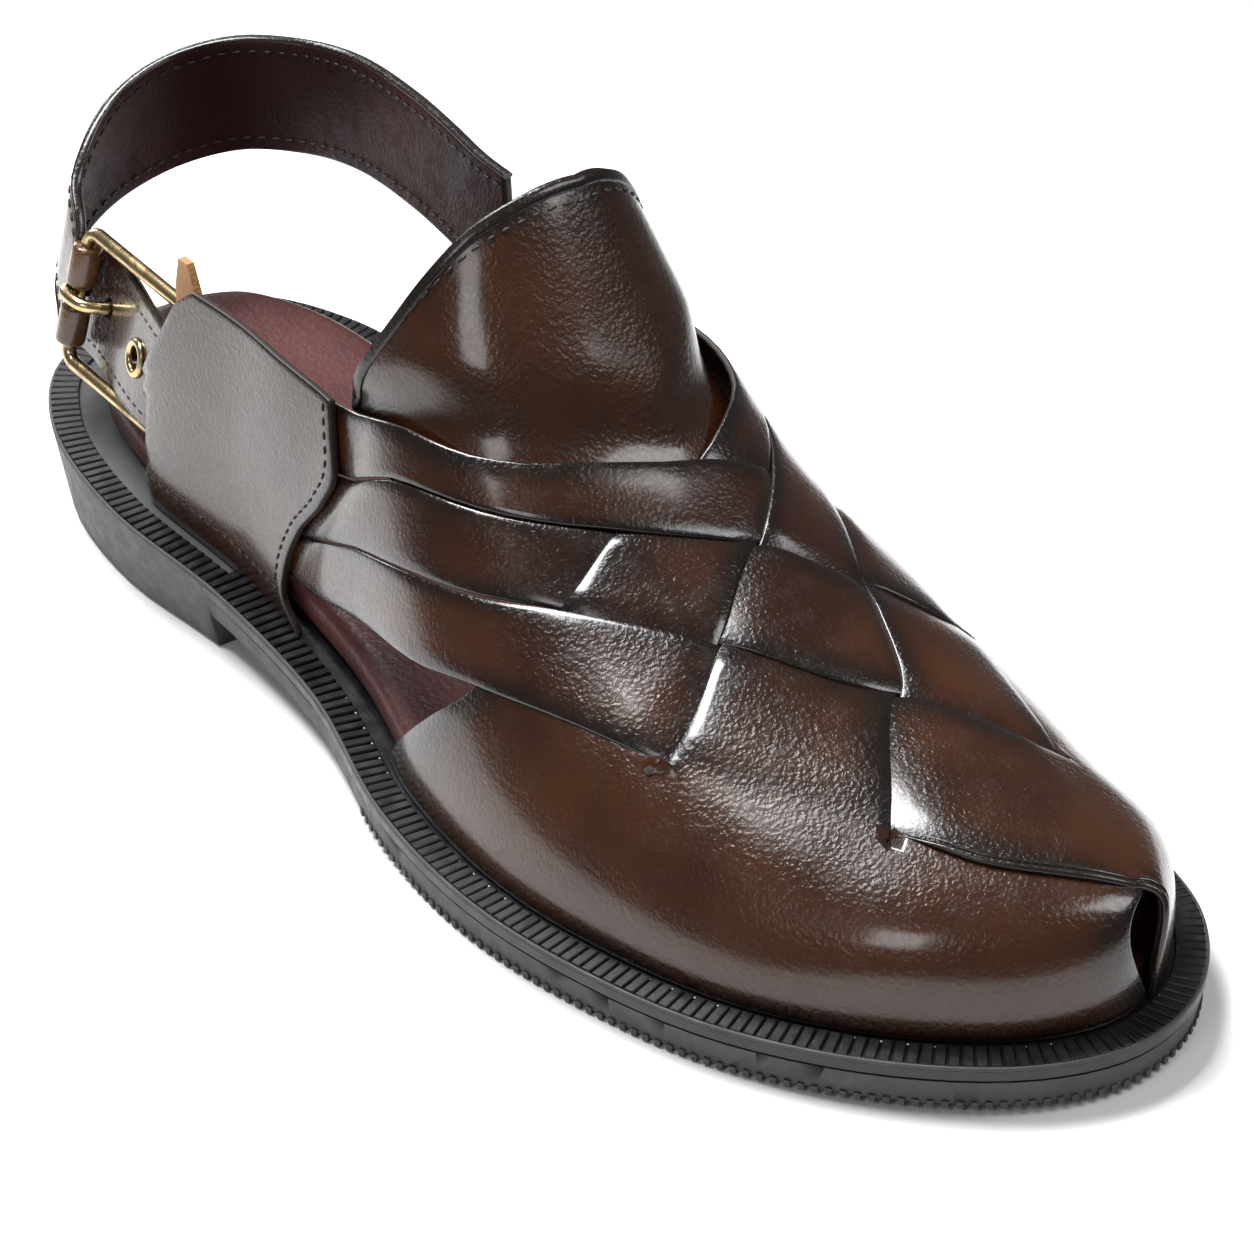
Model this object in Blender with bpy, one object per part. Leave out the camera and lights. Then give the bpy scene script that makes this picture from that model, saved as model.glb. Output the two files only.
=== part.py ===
"""A woven leather sandal with a sling-back strap, a right shoe, as separate solids.

Metres, +Z up, +X to the toe, -Y to the outer side of the foot. The origin is under the
middle of the sole. Every curved piece is laid on one surface, the last, whose sections
run from the outer feather line over the ridge to the inner feather line.
"""

import math

import bmesh
import bpy
import numpy as np
from mathutils import Matrix, Vector

# Sole
SOLE_LENGTH = 0.290
BALL_WIDTH = 0.110
FOREFOOT_THICKNESS = 0.0086
HEEL_BACK_HEIGHT = 0.0205
TOE_SPRING = 0.0015
WELT_THICKNESS = 0.0026
HEEL_LENGTH = 0.088
HEEL_TAPER = 0.0030
FOREFOOT_TAPER = 0.0010
SOLE_EDGE_CHAMFER = 0.0008
ARCH_END = 0.185
TREAD_GROOVE_WIDTH = 0.0020
TREAD_GROOVE_DEPTH = 0.0010
TREAD_PITCH = 0.0060
TREAD_START = 0.192
TREAD_END = 0.280

# Upper
WELT_RIM = 0.0065
HEEL_RIM = 0.0090
INSTEP_HEIGHT = 0.124
UPPER_WALL = 0.0016
STRAP_RAISE = 0.0012
STRAP_TUCK = 0.0007
SHIELD_WALL = 0.0016
QUARTER_WALL = 0.0016
QUARTER_PROUD = 0.0012
GAP = 0.0003

# Footbed
FOOTBED_HEEL = 0.0085
FOOTBED_BALL = 0.0070
FOOTBED_ROUNDING = 0.0030
FOOTBED_DISH = 0.0012

# Heel strap and buckle
STRAP_WIDTH = 0.0240
STRAP_END_WIDTH = 0.0208
STRAP_THICKNESS = 0.0022
BILLET_WIDTH = 0.0220
BILLET_THICKNESS = 0.0020
ROD_DIAMETER = 0.0026
FRAME_LENGTH = 0.0345
FRAME_HEIGHT = 0.0276
FRAME_CORNER = 0.0032
PRONG_DIAMETER = 0.0022
SLEEVE_WALL = 0.0014
SLEEVE_NOTCH = 0.0040
EYELET_BORE = 0.0040
EYELET_OUTER = 0.0078
EYELET_HEIGHT = 0.0008
EYELET_BARREL = 0.0004

# Rows of the sole's outline: share of the length, then the outer and the inner half width
# as shares of the ball width, both measured from the heel's axis.
OUTLINE = (
    (0.024, 0.191, 0.218),
    (0.093, 0.318, 0.327),
    (0.203, 0.373, 0.364),
    (0.321, 0.350, 0.368),
    (0.438, 0.364, 0.402),
    (0.559, 0.445, 0.482),
    (0.662, 0.464, 0.537),
    (0.755, 0.427, 0.534),
    (0.848, 0.345, 0.488),
    (0.931, 0.198, 0.417),
    (0.983, 0.030, 0.284),
)
HEEL_POINT_SHARE = 0.018
TOE_POINT_SHARE = 0.128

# Rows of the welt's top: share of the length, then share of the rise from the forefoot's
# thickness to the height of the heel's back.
WELT_RISE = (
    (0.000, 1.000),
    (0.207, 0.756),
    (0.310, 0.540),
    (0.414, 0.286),
    (0.517, 0.110),
    (0.621, 0.025),
    (0.724, 0.000),
    (1.000, 0.000),
)

# Rows of the last's ridge: share of the length, sideways place as a share of the ball
# width, and height over the welt as a share of the instep height.
RIDGE = (
    (0.207, 0.045, 0.858),
    (0.345, 0.073, 0.883),
    (0.414, 0.092, 0.879),
    (0.448, 0.098, 0.839),
    (0.479, 0.099, 0.769),
    (0.507, 0.100, 0.684),
    (0.534, 0.100, 0.598),
    (0.566, 0.105, 0.511),
    (0.597, 0.109, 0.446),
    (0.655, 0.118, 0.369),
    (0.717, 0.127, 0.314),
    (0.779, 0.136, 0.269),
    (0.845, 0.145, 0.233),
    (0.897, 0.155, 0.208),
    (0.938, 0.172, 0.183),
    (0.962, 0.190, 0.157),
    (0.974, 0.202, 0.128),
)

# Rows of the sections' fullness: share of the length, then the powers that shape the outer
# side, the inner side and the top; a smaller power makes a fuller shoulder.
FULLNESS = (
    (0.207, 0.55, 0.55, 1.00),
    (0.345, 0.60, 0.60, 1.00),
    (0.417, 0.90, 0.83, 1.00),
    (0.517, 0.95, 0.96, 1.00),
    (0.621, 0.85, 0.91, 1.00),
    (0.745, 0.80, 0.82, 0.97),
    (0.828, 0.78, 0.72, 0.95),
    (1.000, 0.75, 0.60, 0.90),
)
SIDE_BULGE = 0.0022
TOE_BULGE = 0.0022
TOE_SPLIT_SIDE = 0.208
TOE_FAN_START = 0.903

# Edge lines of the straps that run from the outer rear to the inner front. Each row gives
# the crossing count across the other panel, then the place on the last: share of the
# length and degrees round the section. The other panel is the mirror image.
STRAP_LINES = (
    (
        (-1.0, 0.386, 27.5),
        (-0.8, 0.421, 29.0),
        (-0.5, 0.503, 43.0),
        (-0.25, 0.555, 61.0),
        (0.0, 0.597, 90.0),
        (1.0, 0.610, 108.0),
        (2.0, 0.621, 125.0),
        (3.0, 0.603, 148.0),
        (3.5, 0.569, 163.0),
        (4.0, 0.517, 180.0),
    ),
    (
        (-1.0, 0.390, 19.5),
        (-0.8, 0.428, 22.0),
        (-0.5, 0.503, 36.0),
        (-0.25, 0.566, 54.0),
        (0.0, 0.610, 72.0),
        (1.0, 0.652, 90.0),
        (2.0, 0.697, 105.0),
        (3.0, 0.731, 130.0),
        (3.5, 0.728, 154.0),
        (4.0, 0.717, 180.0),
    ),
    (
        (-1.0, 0.348, 9.5),
        (-0.8, 0.383, 11.0),
        (-0.5, 0.479, 21.0),
        (-0.25, 0.562, 38.0),
        (0.0, 0.621, 55.0),
        (1.0, 0.697, 75.0),
        (2.0, 0.776, 90.0),
        (3.0, 0.855, 112.0),
        (3.5, 0.886, 143.0),
        (4.0, 0.903, 180.0),
    ),
    (
        (-1.0, 0.334, 3.5),
        (-0.8, 0.369, 4.5),
        (-0.5, 0.466, 11.0),
        (-0.25, 0.545, 21.0),
        (0.0, 0.603, 32.0),
        (0.5, 0.672, 43.0),
        (1.0, 0.731, 50.0),
        (1.5, 0.793, 59.0),
        (2.0, 0.855, 68.0),
        (2.5, 0.917, 76.5),
        (3.0, 0.9540, 90.0),
        (3.25, 0.9620, 108.0),
        (3.5, 0.9672, 130.0),
        (3.75, 0.9700, 155.0),
        (4.0, 0.9712, 180.0),
    ),
)
STRAP_SAMPLES = (0.0, 0.07, 0.29, 0.5, 0.71, 0.93, 1.0)
TAIL_SAMPLES = 8
WING_SAMPLES = 7
GROOVE_SHARE = 0.07
TUCK_START = -0.62
TUCK_FULL = -0.78

# Rows of the shield's top edge: share of the length, degrees round the section.
SHIELD_TOP = (
    (0.417, 29.0),
    (0.452, 47.0),
    (0.467, 62.0),
    (0.477, 78.0),
    (0.480, 90.0),
)
# Rows of the shield's hidden lower edge.
SHIELD_FOOT = (
    (0.448, 25.0),
    (0.531, 38.0),
    (0.583, 56.0),
    (0.610, 71.0),
    (0.631, 90.0),
)
SHIELD_TUCK = 0.0029
SHIELD_TUCK_RAMP = 0.009
SHIELD_COLUMNS = 26
SHIELD_ROWS = 8

# Rows of the outer quarter: share of its height, then share of the length and degrees of
# its rear edge, and the same of its front edge.
QUARTER = (
    (0.00, 0.213, 0.0, 0.383, 0.0),
    (0.10, 0.202, 3.0, 0.364, 3.0),
    (0.22, 0.195, 6.5, 0.369, 6.5),
    (0.40, 0.197, 11.5, 0.386, 12.0),
    (0.60, 0.213, 17.5, 0.412, 17.5),
    (0.78, 0.231, 22.5, 0.424, 22.0),
    (0.90, 0.243, 26.0, 0.417, 26.0),
    (1.00, 0.260, 28.5, 0.411, 29.0),
)
QUARTER_COLUMNS = 10
QUARTER_ROWS = 11
# The inner quarter rises higher at the rear, where it holds the heel strap's end.
INNER_QUARTER_REAR = (
    (0.00, 0.213, 0.0),
    (0.20, 0.222, 8.0),
    (0.45, 0.243, 18.0),
    (0.70, 0.270, 25.0),
    (0.90, 0.290, 31.5),
    (1.00, 0.300, 34.0),
)

# Rows of the heel strap's middle line: along and across the foot and up, in shares of the
# sole's length, the ball width and the instep height.
HEEL_STRAP = (
    (0.331, 0.243, 0.577),
    (0.300, 0.247, 0.579),
    (0.255, 0.262, 0.585),
    (0.207, 0.273, 0.591),
    (0.138, 0.280, 0.587),
    (0.076, 0.262, 0.564),
    (0.037, 0.192, 0.552),
    (0.020, 0.095, 0.536),
    (0.020, 0.002, 0.520),
    (0.029, -0.078, 0.502),
    (0.042, -0.148, 0.473),
    (0.055, -0.200, 0.432),
    (0.075, -0.228, 0.396),
)
STRAP_SECTIONS = 36
BUCKLE_ALONG = 0.0914
BUCKLE_ACROSS = -0.241
BUCKLE_UP = 0.368
BUCKLE_WIDTH_LINE = (0.14, 0.24, 1.0)
BUCKLE_STRAP_LINE = (1.0, 0.03, -0.09)

# Rows of the billet's middle line, in the same shares as the heel strap, and the sideways
# lean of its width as a share of its height.
BILLET = (
    (0.290, -0.257, 0.347, 0.03),
    (0.255, -0.262, 0.345, 0.05),
    (0.224, -0.266, 0.343, 0.10),
    (0.207, -0.265, 0.343, 0.16),
    (0.176, -0.252, 0.347, 0.22),
    (0.141, -0.228, 0.349, 0.24),
    (0.110, -0.208, 0.348, 0.24),
    (0.078, -0.198, 0.346, 0.24),
)
TIP_CLEARANCE = 0.0012
TIP_WIDTH = 0.0075
TIP_ACROSS = -0.238
TIP_LOW = 0.360
TIP_SHOULDER = 0.510
TIP_TOP = 0.562
TIP_THICKNESS = 0.0016
PRONG_HOLE_SHARE = 0.825
EYELET_SHARE = 0.53

# Rows of the prong: along the buckle from its rear bar and outward from the frame's middle
# plane, both as shares of the frame's length.
PRONG = (
    (0.060, 0.082),
    (0.120, 0.070),
    (0.165, 0.030),
    (0.195, -0.040),
    (0.212, -0.110),
    (0.240, -0.175),
    (0.300, -0.200),
    (0.420, -0.180),
    (0.700, -0.130),
    (1.060, -0.090),
)

LEATHER = ("leather_brown", (0.058, 0.022, 0.009), 0.32, 0.0)
LEATHER_SLEEVE = ("leather_sleeve", (0.085, 0.040, 0.015), 0.40, 0.0)
LINING = ("footbed_burgundy", (0.105, 0.030, 0.030), 0.45, 0.0)
RUBBER = ("rubber_black", (0.030, 0.031, 0.033), 0.75, 0.0)
BRASS = ("brass", (0.50, 0.36, 0.14), 0.25, 1.0)
TAN = ("leather_tan", (0.42, 0.20, 0.06), 0.55, 0.0)

OUTLINE_SPAN = 5


def smooth_rise(value):
    """Eases from 0 to 1 as the value goes from 0 to 1."""
    t = np.clip(value, 0.0, 1.0)
    return t * t * (3 - 2 * t)


def along_table(rows, column, at):
    """Reads one column of a table at a value of its first column, on a smooth curve that never overshoots."""
    table = np.array(rows, float)
    x, y = table[:, 0], table[:, column]
    step = np.diff(x)
    slope = np.diff(y) / step
    bend = np.zeros(len(x))
    bend[0], bend[-1] = slope[0], slope[-1]
    for i in range(1, len(x) - 1):
        if slope[i - 1] * slope[i] > 0:
            before = 2 * step[i] + step[i - 1]
            after = step[i] + 2 * step[i - 1]
            bend[i] = (before + after) / (before / slope[i - 1] + after / slope[i])
    at = np.clip(np.asarray(at, float), x[0], x[-1])
    i = np.clip(np.searchsorted(x, at, side="right") - 1, 0, len(x) - 2)
    t = (at - x[i]) / step[i]
    return (
        (2 * t**3 - 3 * t**2 + 1) * y[i]
        + (t**3 - 2 * t**2 + t) * step[i] * bend[i]
        + (3 * t**2 - 2 * t**3) * y[i + 1]
        + (t**3 - t**2) * step[i] * bend[i + 1]
    )


def closed_curve(points, per_span):
    """A smooth closed curve through the points, with the same number of samples in each span."""
    points = np.array(points, float)
    count = len(points)
    gap = np.sqrt(np.linalg.norm(np.roll(points, -1, 0) - points, axis=1))
    curve = []
    for i in range(count):
        p0, p1, p2, p3 = (points[(i + k) % count] for k in (-1, 0, 1, 2))
        t1 = gap[i - 1]
        t2 = t1 + gap[i]
        t3 = t2 + gap[(i + 1) % count]
        for t in np.linspace(t1, t2, per_span, endpoint=False):
            a1 = (t1 - t) / t1 * p0 + t / t1 * p1
            a2 = (t2 - t) / (t2 - t1) * p1 + (t - t1) / (t2 - t1) * p2
            a3 = (t3 - t) / (t3 - t2) * p2 + (t - t2) / (t3 - t2) * p3
            b1 = (t2 - t) / t2 * a1 + t / t2 * a2
            b2 = (t3 - t) / (t3 - t1) * a2 + (t - t1) / (t3 - t1) * a3
            curve.append((t2 - t) / (t2 - t1) * b1 + (t - t1) / (t2 - t1) * b2)
    return np.array(curve)


def open_curve(points, samples):
    """A smooth open curve through the points, resampled evenly along its length."""
    points = np.array(points, float)
    ends = (2 * points[0] - points[1], 2 * points[-1] - points[-2])
    padded = np.vstack([ends[0], points, ends[1]])
    gap = np.sqrt(np.linalg.norm(np.diff(padded, axis=0), axis=1))
    curve = [points[0]]
    for i in range(len(points) - 1):
        p0, p1, p2, p3 = padded[i : i + 4]
        t1 = gap[i]
        t2 = t1 + gap[i + 1]
        t3 = t2 + gap[i + 2]
        for t in np.linspace(t1, t2, 13)[1:]:
            a1 = (t1 - t) / t1 * p0 + t / t1 * p1
            a2 = (t2 - t) / (t2 - t1) * p1 + (t - t1) / (t2 - t1) * p2
            a3 = (t3 - t) / (t3 - t2) * p2 + (t - t2) / (t3 - t2) * p3
            b1 = (t2 - t) / t2 * a1 + t / t2 * a2
            b2 = (t3 - t) / (t3 - t1) * a2 + (t - t1) / (t3 - t1) * a3
            curve.append((t2 - t) / (t2 - t1) * b1 + (t - t1) / (t2 - t1) * b2)
    curve = np.array(curve)
    run = np.concatenate([[0], np.cumsum(np.linalg.norm(np.diff(curve, axis=0), axis=1))])
    even = np.linspace(0, run[-1], samples)
    return np.stack([np.interp(even, run, curve[:, k]) for k in range(curve.shape[1])], axis=1)


def sole_outline(per_span=OUTLINE_SPAN):
    """The welt's outer edge seen from above, from the heel's back round the outer side to the toe and back."""
    heel = [(0.0, HEEL_POINT_SHARE * BALL_WIDTH)]
    toe = [(SOLE_LENGTH, TOE_POINT_SHARE * BALL_WIDTH)]
    outer = [(x * SOLE_LENGTH, -o * BALL_WIDTH) for x, o, _ in OUTLINE]
    inner = [(x * SOLE_LENGTH, i * BALL_WIDTH) for x, _, i in reversed(OUTLINE)]
    return closed_curve(heel + outer + toe + inner, per_span)


def inset(loop, depth):
    """The loop moved inward by a depth, one value or one for each point."""
    along = np.roll(loop, -1, 0) - np.roll(loop, 1, 0)
    along /= np.linalg.norm(along, axis=1)[:, None]
    inward = np.stack([-along[:, 1], along[:, 0]], axis=1)
    return loop + inward * np.broadcast_to(depth, len(loop))[:, None]


def welt_top(x):
    """Height of the welt's top over the floor."""
    rise = along_table(WELT_RISE, 1, np.asarray(x) / SOLE_LENGTH)
    spring = TOE_SPRING * smooth_rise((np.asarray(x) / SOLE_LENGTH - 0.76) / 0.24)
    return FOREFOOT_THICKNESS + rise * (HEEL_BACK_HEIGHT - FOREFOOT_THICKNESS) + spring


def rim_width(x):
    """Width of the welt that shows outside the upper."""
    share = smooth_rise((np.asarray(x) / SOLE_LENGTH - 0.21) / 0.24)
    return HEEL_RIM + (WELT_RIM - HEEL_RIM) * share


def feather_loop(per_span=40):
    """The line where the upper meets the welt, seen from above."""
    outline = sole_outline(per_span)
    return inset(outline, rim_width(outline[:, 0]))


def feather_sides():
    """The outer and inner halves of the feather line, from the heel to the split at the toe."""
    loop = feather_loop()
    loop = np.roll(loop, -int(np.argmin(loop[:, 0])), 0)
    ahead = loop[:, 0] > TOE_FAN_START * SOLE_LENGTH
    beside = np.abs(loop[:, 1] - TOE_SPLIT_SIDE * BALL_WIDTH)
    split = int(np.argmin(np.where(ahead, beside, np.inf)))
    return loop[: split + 1], np.vstack([loop[split:], loop[:1]])[::-1]


def sole_middle():
    """The middle of the sole's outline on the floor, which is the shared origin."""
    outline = sole_outline()
    low, high = outline.min(axis=0), outline.max(axis=0)
    return np.array([*(low + high) / 2, 0.0])


ORIGIN = sole_middle()
OUTER_FEATHER, INNER_FEATHER = feather_sides()
SPLIT_POINT = OUTER_FEATHER[-1]


def feather_point(side, station):
    """Places on one half of the feather line: by length up to the toe, and by arc round the toe."""
    start = TOE_FAN_START * SOLE_LENGTH
    station = np.asarray(station, float)
    rear = side[: np.argmax(side[:, 0]) + 1]
    y = np.interp(station, rear[:, 0], rear[:, 1])
    first = int(np.argmax(side[:, 0] > start))
    toe = np.vstack([(start, np.interp(start, rear[:, 0], rear[:, 1])), side[first:]])
    run = np.concatenate([[0], np.cumsum(np.linalg.norm(np.diff(toe, axis=0), axis=1))])
    share = np.clip((station - start) / (SPLIT_POINT[0] - start), 0, 1)
    toe_x = np.interp(share * run[-1], run, toe[:, 0])
    toe_y = np.interp(share * run[-1], run, toe[:, 1])
    return np.where(station > start, toe_x, station), np.where(station > start, toe_y, y)


def last_point(share, degrees):
    """A point of the last, by its share of the length and its degrees round the section."""
    share, degrees = np.broadcast_arrays(np.asarray(share, float), np.asarray(degrees, float))
    angle = np.radians(degrees)
    station = share * SOLE_LENGTH
    outer_x, outer_y = feather_point(OUTER_FEATHER, station)
    inner_x, inner_y = feather_point(INNER_FEATHER, station)
    reach = smooth_rise((share - TOE_FAN_START) / (SPLIT_POINT[0] / SOLE_LENGTH - TOE_FAN_START))
    ridge_x = station
    ridge_y = along_table(RIDGE, 1, share) * BALL_WIDTH
    ridge_y = ridge_y + reach * (SPLIT_POINT[1] - ridge_y)
    height = along_table(RIDGE, 2, share) * INSTEP_HEIGHT
    floor = welt_top(outer_x * (degrees <= 90) + inner_x * (degrees > 90)) + GAP
    level, up = np.abs(np.cos(angle)), np.abs(np.sin(angle))
    outer_side = np.cos(angle) > 0
    power = np.where(outer_side, along_table(FULLNESS, 1, share), along_table(FULLNESS, 2, share))
    spread = level**power
    side_x = np.where(outer_side, outer_x, inner_x)
    side_y = np.where(outer_side, outer_y, inner_y)
    swell = SIDE_BULGE * np.sin(2 * angle) ** 2 * smooth_rise((share - 0.84) / 0.08)
    away = np.where(outer_side, -1.0, 1.0) * (1 - reach)
    x = ridge_x + (side_x - ridge_x) * spread + TOE_BULGE * reach * up
    y = ridge_y + (side_y - ridge_y) * spread + away * swell
    z = floor + height * up ** along_table(FULLNESS, 3, share)
    return np.stack([x, y, z], axis=-1)


def last_normal(share, degrees):
    """The direction straight out of the last."""
    step, turn = 0.002, 1.0
    low = np.maximum(np.asarray(share) - step, 0.207)
    high = np.minimum(np.asarray(share) + step, SPLIT_POINT[0] / SOLE_LENGTH - 0.0005)
    along = last_point(high, degrees) - last_point(low, degrees)
    less = np.maximum(np.asarray(degrees) - turn, 0.0)
    more = np.minimum(np.asarray(degrees) + turn, 180.0)
    round_ = last_point(share, more) - last_point(share, less)
    out = np.cross(along, round_)
    return out / np.linalg.norm(out, axis=-1)[..., None]


def on_last(share, degrees, lift):
    """Points at a height over the last."""
    lift = np.asarray(lift, float)
    return last_point(share, degrees) + last_normal(share, degrees) * lift[..., None]


def material(finish):
    """A Principled material, made once for each finish."""
    name, color, roughness, metallic = finish
    made = bpy.data.materials.get(name)
    if made is None:
        made = bpy.data.materials.new(name)
        made.use_nodes = True
        shader = made.node_tree.nodes["Principled BSDF"]
        shader.inputs["Base Color"].default_value = (*color, 1.0)
        shader.inputs["Roughness"].default_value = roughness
        shader.inputs["Metallic"].default_value = metallic
    return made


def add_object(name, mesh, finish, smooth_degrees=40):
    """Links a mesh as a named object with its finish and its shading."""
    mesh.materials.append(material(finish))
    mesh.shade_smooth()
    mesh.set_sharp_from_angle(angle=math.radians(smooth_degrees))
    part = bpy.data.objects.new(name, mesh)
    bpy.context.scene.collection.objects.link(part)
    return part


def mesh_from_faces(name, points, faces, weld=1e-6):
    """A mesh of points in the last's frame, with equal points made one, moved to the shared origin."""
    mesh = bpy.data.meshes.new(name)
    shape = bmesh.new()
    verts = [shape.verts.new(Vector(p) - Vector(ORIGIN)) for p in points]
    for face in faces:
        shape.faces.new([verts[i] for i in face])
    bmesh.ops.remove_doubles(shape, verts=shape.verts, dist=weld)
    bmesh.ops.dissolve_degenerate(shape, dist=weld, edges=shape.edges)
    bmesh.ops.recalc_face_normals(shape, faces=shape.faces)
    if shape.calc_volume(signed=True) < 0:
        bmesh.ops.reverse_faces(shape, faces=shape.faces)
    shape.to_mesh(mesh)
    shape.free()
    return mesh


class Skin:
    """Collects points and quads of a closed wall, sharing points that fall together."""

    def __init__(self):
        """Starts with no points and no faces."""
        self.points = []
        self.faces = []
        self.places = {}

    def point(self, place):
        """The number of a point, which is new only where no point lies yet."""
        key = tuple(int(round(c * 2e6)) for c in place)
        if key not in self.places:
            self.places[key] = len(self.points)
            self.points.append(tuple(float(c) for c in place))
        return self.places[key]

    def face(self, corners):
        """A face of the corners, without those that repeat, or none where it has no area."""
        ring = []
        for corner in corners:
            number = self.point(corner)
            if number not in ring:
                ring.append(number)
        if len(ring) > 2:
            self.faces.append(ring)

    def sheet(self, grid, flip=False):
        """Quads over a grid of points."""
        for i in range(grid.shape[0] - 1):
            for j in range(grid.shape[1] - 1):
                ring = [grid[i, j], grid[i + 1, j], grid[i + 1, j + 1], grid[i, j + 1]]
                self.face(ring[::-1] if flip else ring)

    def strip(self, first, second):
        """Quads between two lines of points."""
        for i in range(len(first) - 1):
            self.face([first[i], first[i + 1], second[i + 1], second[i]])

    def mesh(self, name):
        """The finished mesh."""
        return mesh_from_faces(name, self.points, self.faces)


def wall_from_grids(name, outside, inside):
    """A closed wall between two grids of the same size."""
    skin = Skin()
    skin.sheet(outside)
    skin.sheet(inside, flip=True)
    skin.strip(outside[0], inside[0])
    skin.strip(outside[-1], inside[-1])
    skin.strip(outside[:, 0], inside[:, 0])
    skin.strip(outside[:, -1], inside[:, -1])
    return skin.mesh(name)


def ladder_faces(rows, columns):
    """Faces of a closed stack: loops one over the other, closed below and above by rungs across the loop."""
    faces = []
    for r in range(rows - 1):
        for c in range(columns):
            d = (c + 1) % columns
            faces.append((r * columns + c, r * columns + d, (r + 1) * columns + d, (r + 1) * columns + c))
    half = columns // 2
    for base in (0, (rows - 1) * columns):
        for c in range(half):
            left, right = c, (columns - c) % columns
            ring = [base + left, base + left + 1, base + (right - 1) % columns, base + right]
            unique = []
            for number in ring:
                if number not in unique:
                    unique.append(number)
            faces.append(unique)
    return faces


def stack_mesh(name, loops):
    """A closed solid of loops that run round the shoe, each with its own height at each point."""
    points = np.vstack(loops)
    return mesh_from_faces(name, points, ladder_faces(len(loops), len(loops[0])))


def prism(name, profile, half_width):
    """A cutter: a profile in the plane along the foot, as wide as the shoe and more."""
    shape = bmesh.new()
    ring = [shape.verts.new(Vector((x, -half_width, z)) - Vector(ORIGIN)) for x, z in profile]
    face = shape.faces.new(ring)
    grown = bmesh.ops.extrude_face_region(shape, geom=[face])
    moved = [v for v in grown["geom"] if isinstance(v, bmesh.types.BMVert)]
    bmesh.ops.translate(shape, verts=moved, vec=(0, 2 * half_width, 0))
    bmesh.ops.recalc_face_normals(shape, faces=shape.faces)
    mesh = bpy.data.meshes.new(name)
    shape.to_mesh(mesh)
    shape.free()
    return add_cutter(name, mesh)


def add_cutter(name, mesh):
    """Links a mesh as an object that only serves a Boolean."""
    cutter = bpy.data.objects.new(name, mesh)
    bpy.context.scene.collection.objects.link(cutter)
    cutter.hide_render = True
    cutter.display_type = "WIRE"
    return cutter


def cut(part, cutter, operation="DIFFERENCE"):
    """Gives a part a Boolean with the cutter."""
    boolean = part.modifiers.new(cutter.name, "BOOLEAN")
    boolean.operation = operation
    boolean.solver = "EXACT"
    boolean.object = cutter


def loop_at(outline, depth, height):
    """One loop of a stack: the outline moved inward, at a height for each point."""
    flat = inset(outline, depth)
    return np.column_stack([flat, np.broadcast_to(height, len(flat))])


def arch_profile():
    """The space under the waist, from the heel's front face to where the forefoot lands."""
    height = float(welt_top(HEEL_LENGTH)) - FOREFOOT_THICKNESS * 0.84
    stations = np.linspace(HEEL_LENGTH, ARCH_END, 12)
    ease = 1 - smooth_rise((stations - HEEL_LENGTH) / (ARCH_END - HEEL_LENGTH))
    run = 1 - (stations - HEEL_LENGTH) / (ARCH_END - HEEL_LENGTH)
    lift = height * (0.5 * ease + 0.5 * run**1.5)
    top = [(x, z - 1e-5) for x, z in zip(stations, lift)]
    below = -FOREFOOT_THICKNESS
    return [(HEEL_LENGTH, below), *top, (ARCH_END + 0.002, below)]


def welt_seat_profile(drop):
    """The space over the outsole that the welt fills, from the heel's front face forward."""
    stations = np.linspace(HEEL_LENGTH, SOLE_LENGTH + 0.01, 24)
    low = [(x, float(welt_top(x)) - drop) for x in stations]
    above = HEEL_BACK_HEIGHT * 3
    return [*low, (SOLE_LENGTH + 0.01, above), (HEEL_LENGTH, above)]


def make_outsole():
    """The outsole and its heel: one block of the outline, with the arch, the welt's seat and the tread cut out."""
    outline = sole_outline()
    x = outline[:, 0]
    toward_heel = 1 - smooth_rise((x - HEEL_LENGTH * 0.8) / (HEEL_LENGTH * 0.6))
    taper = FOREFOOT_TAPER + (HEEL_TAPER - FOREFOOT_TAPER) * toward_heel
    spring = TOE_SPRING * smooth_rise((x / SOLE_LENGTH - 0.80) / 0.20)
    loops = [
        loop_at(outline, taper + SOLE_EDGE_CHAMFER, spring),
        loop_at(outline, taper, spring + SOLE_EDGE_CHAMFER),
        loop_at(outline, 0.0, welt_top(x) - SOLE_EDGE_CHAMFER * 0.5),
        loop_at(outline, SOLE_EDGE_CHAMFER * 0.5, welt_top(x)),
    ]
    outsole = add_object("outsole", stack_mesh("outsole", loops), RUBBER, 30)
    cut(outsole, prism("arch_cutter", arch_profile(), BALL_WIDTH))
    cut(outsole, prism("welt_seat_cutter", welt_seat_profile(WELT_THICKNESS + GAP), BALL_WIDTH))
    cut(outsole, tread_cutter())
    return outsole


def tread_cutter():
    """The grooves that cross the forefoot's tread, as one cutter."""
    count = int((TREAD_END - TREAD_START) / TREAD_PITCH) + 1
    shape = bmesh.new()
    for i in range(count):
        x = TREAD_START + i * TREAD_PITCH
        rise = TOE_SPRING * float(smooth_rise((x / SOLE_LENGTH - 0.80) / 0.20))
        size = (TREAD_GROOVE_WIDTH, 2 * BALL_WIDTH, 2 * TREAD_GROOVE_DEPTH)
        place = Matrix.Translation(Vector((x, 0, rise)) - Vector(ORIGIN))
        made = bmesh.ops.create_cube(shape, size=1.0)
        bmesh.ops.scale(shape, vec=size, verts=made["verts"])
        bmesh.ops.transform(shape, matrix=place, verts=made["verts"])
    mesh = bpy.data.meshes.new("tread_cutter")
    shape.to_mesh(mesh)
    shape.free()
    return add_cutter("tread_cutter", mesh)


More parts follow.
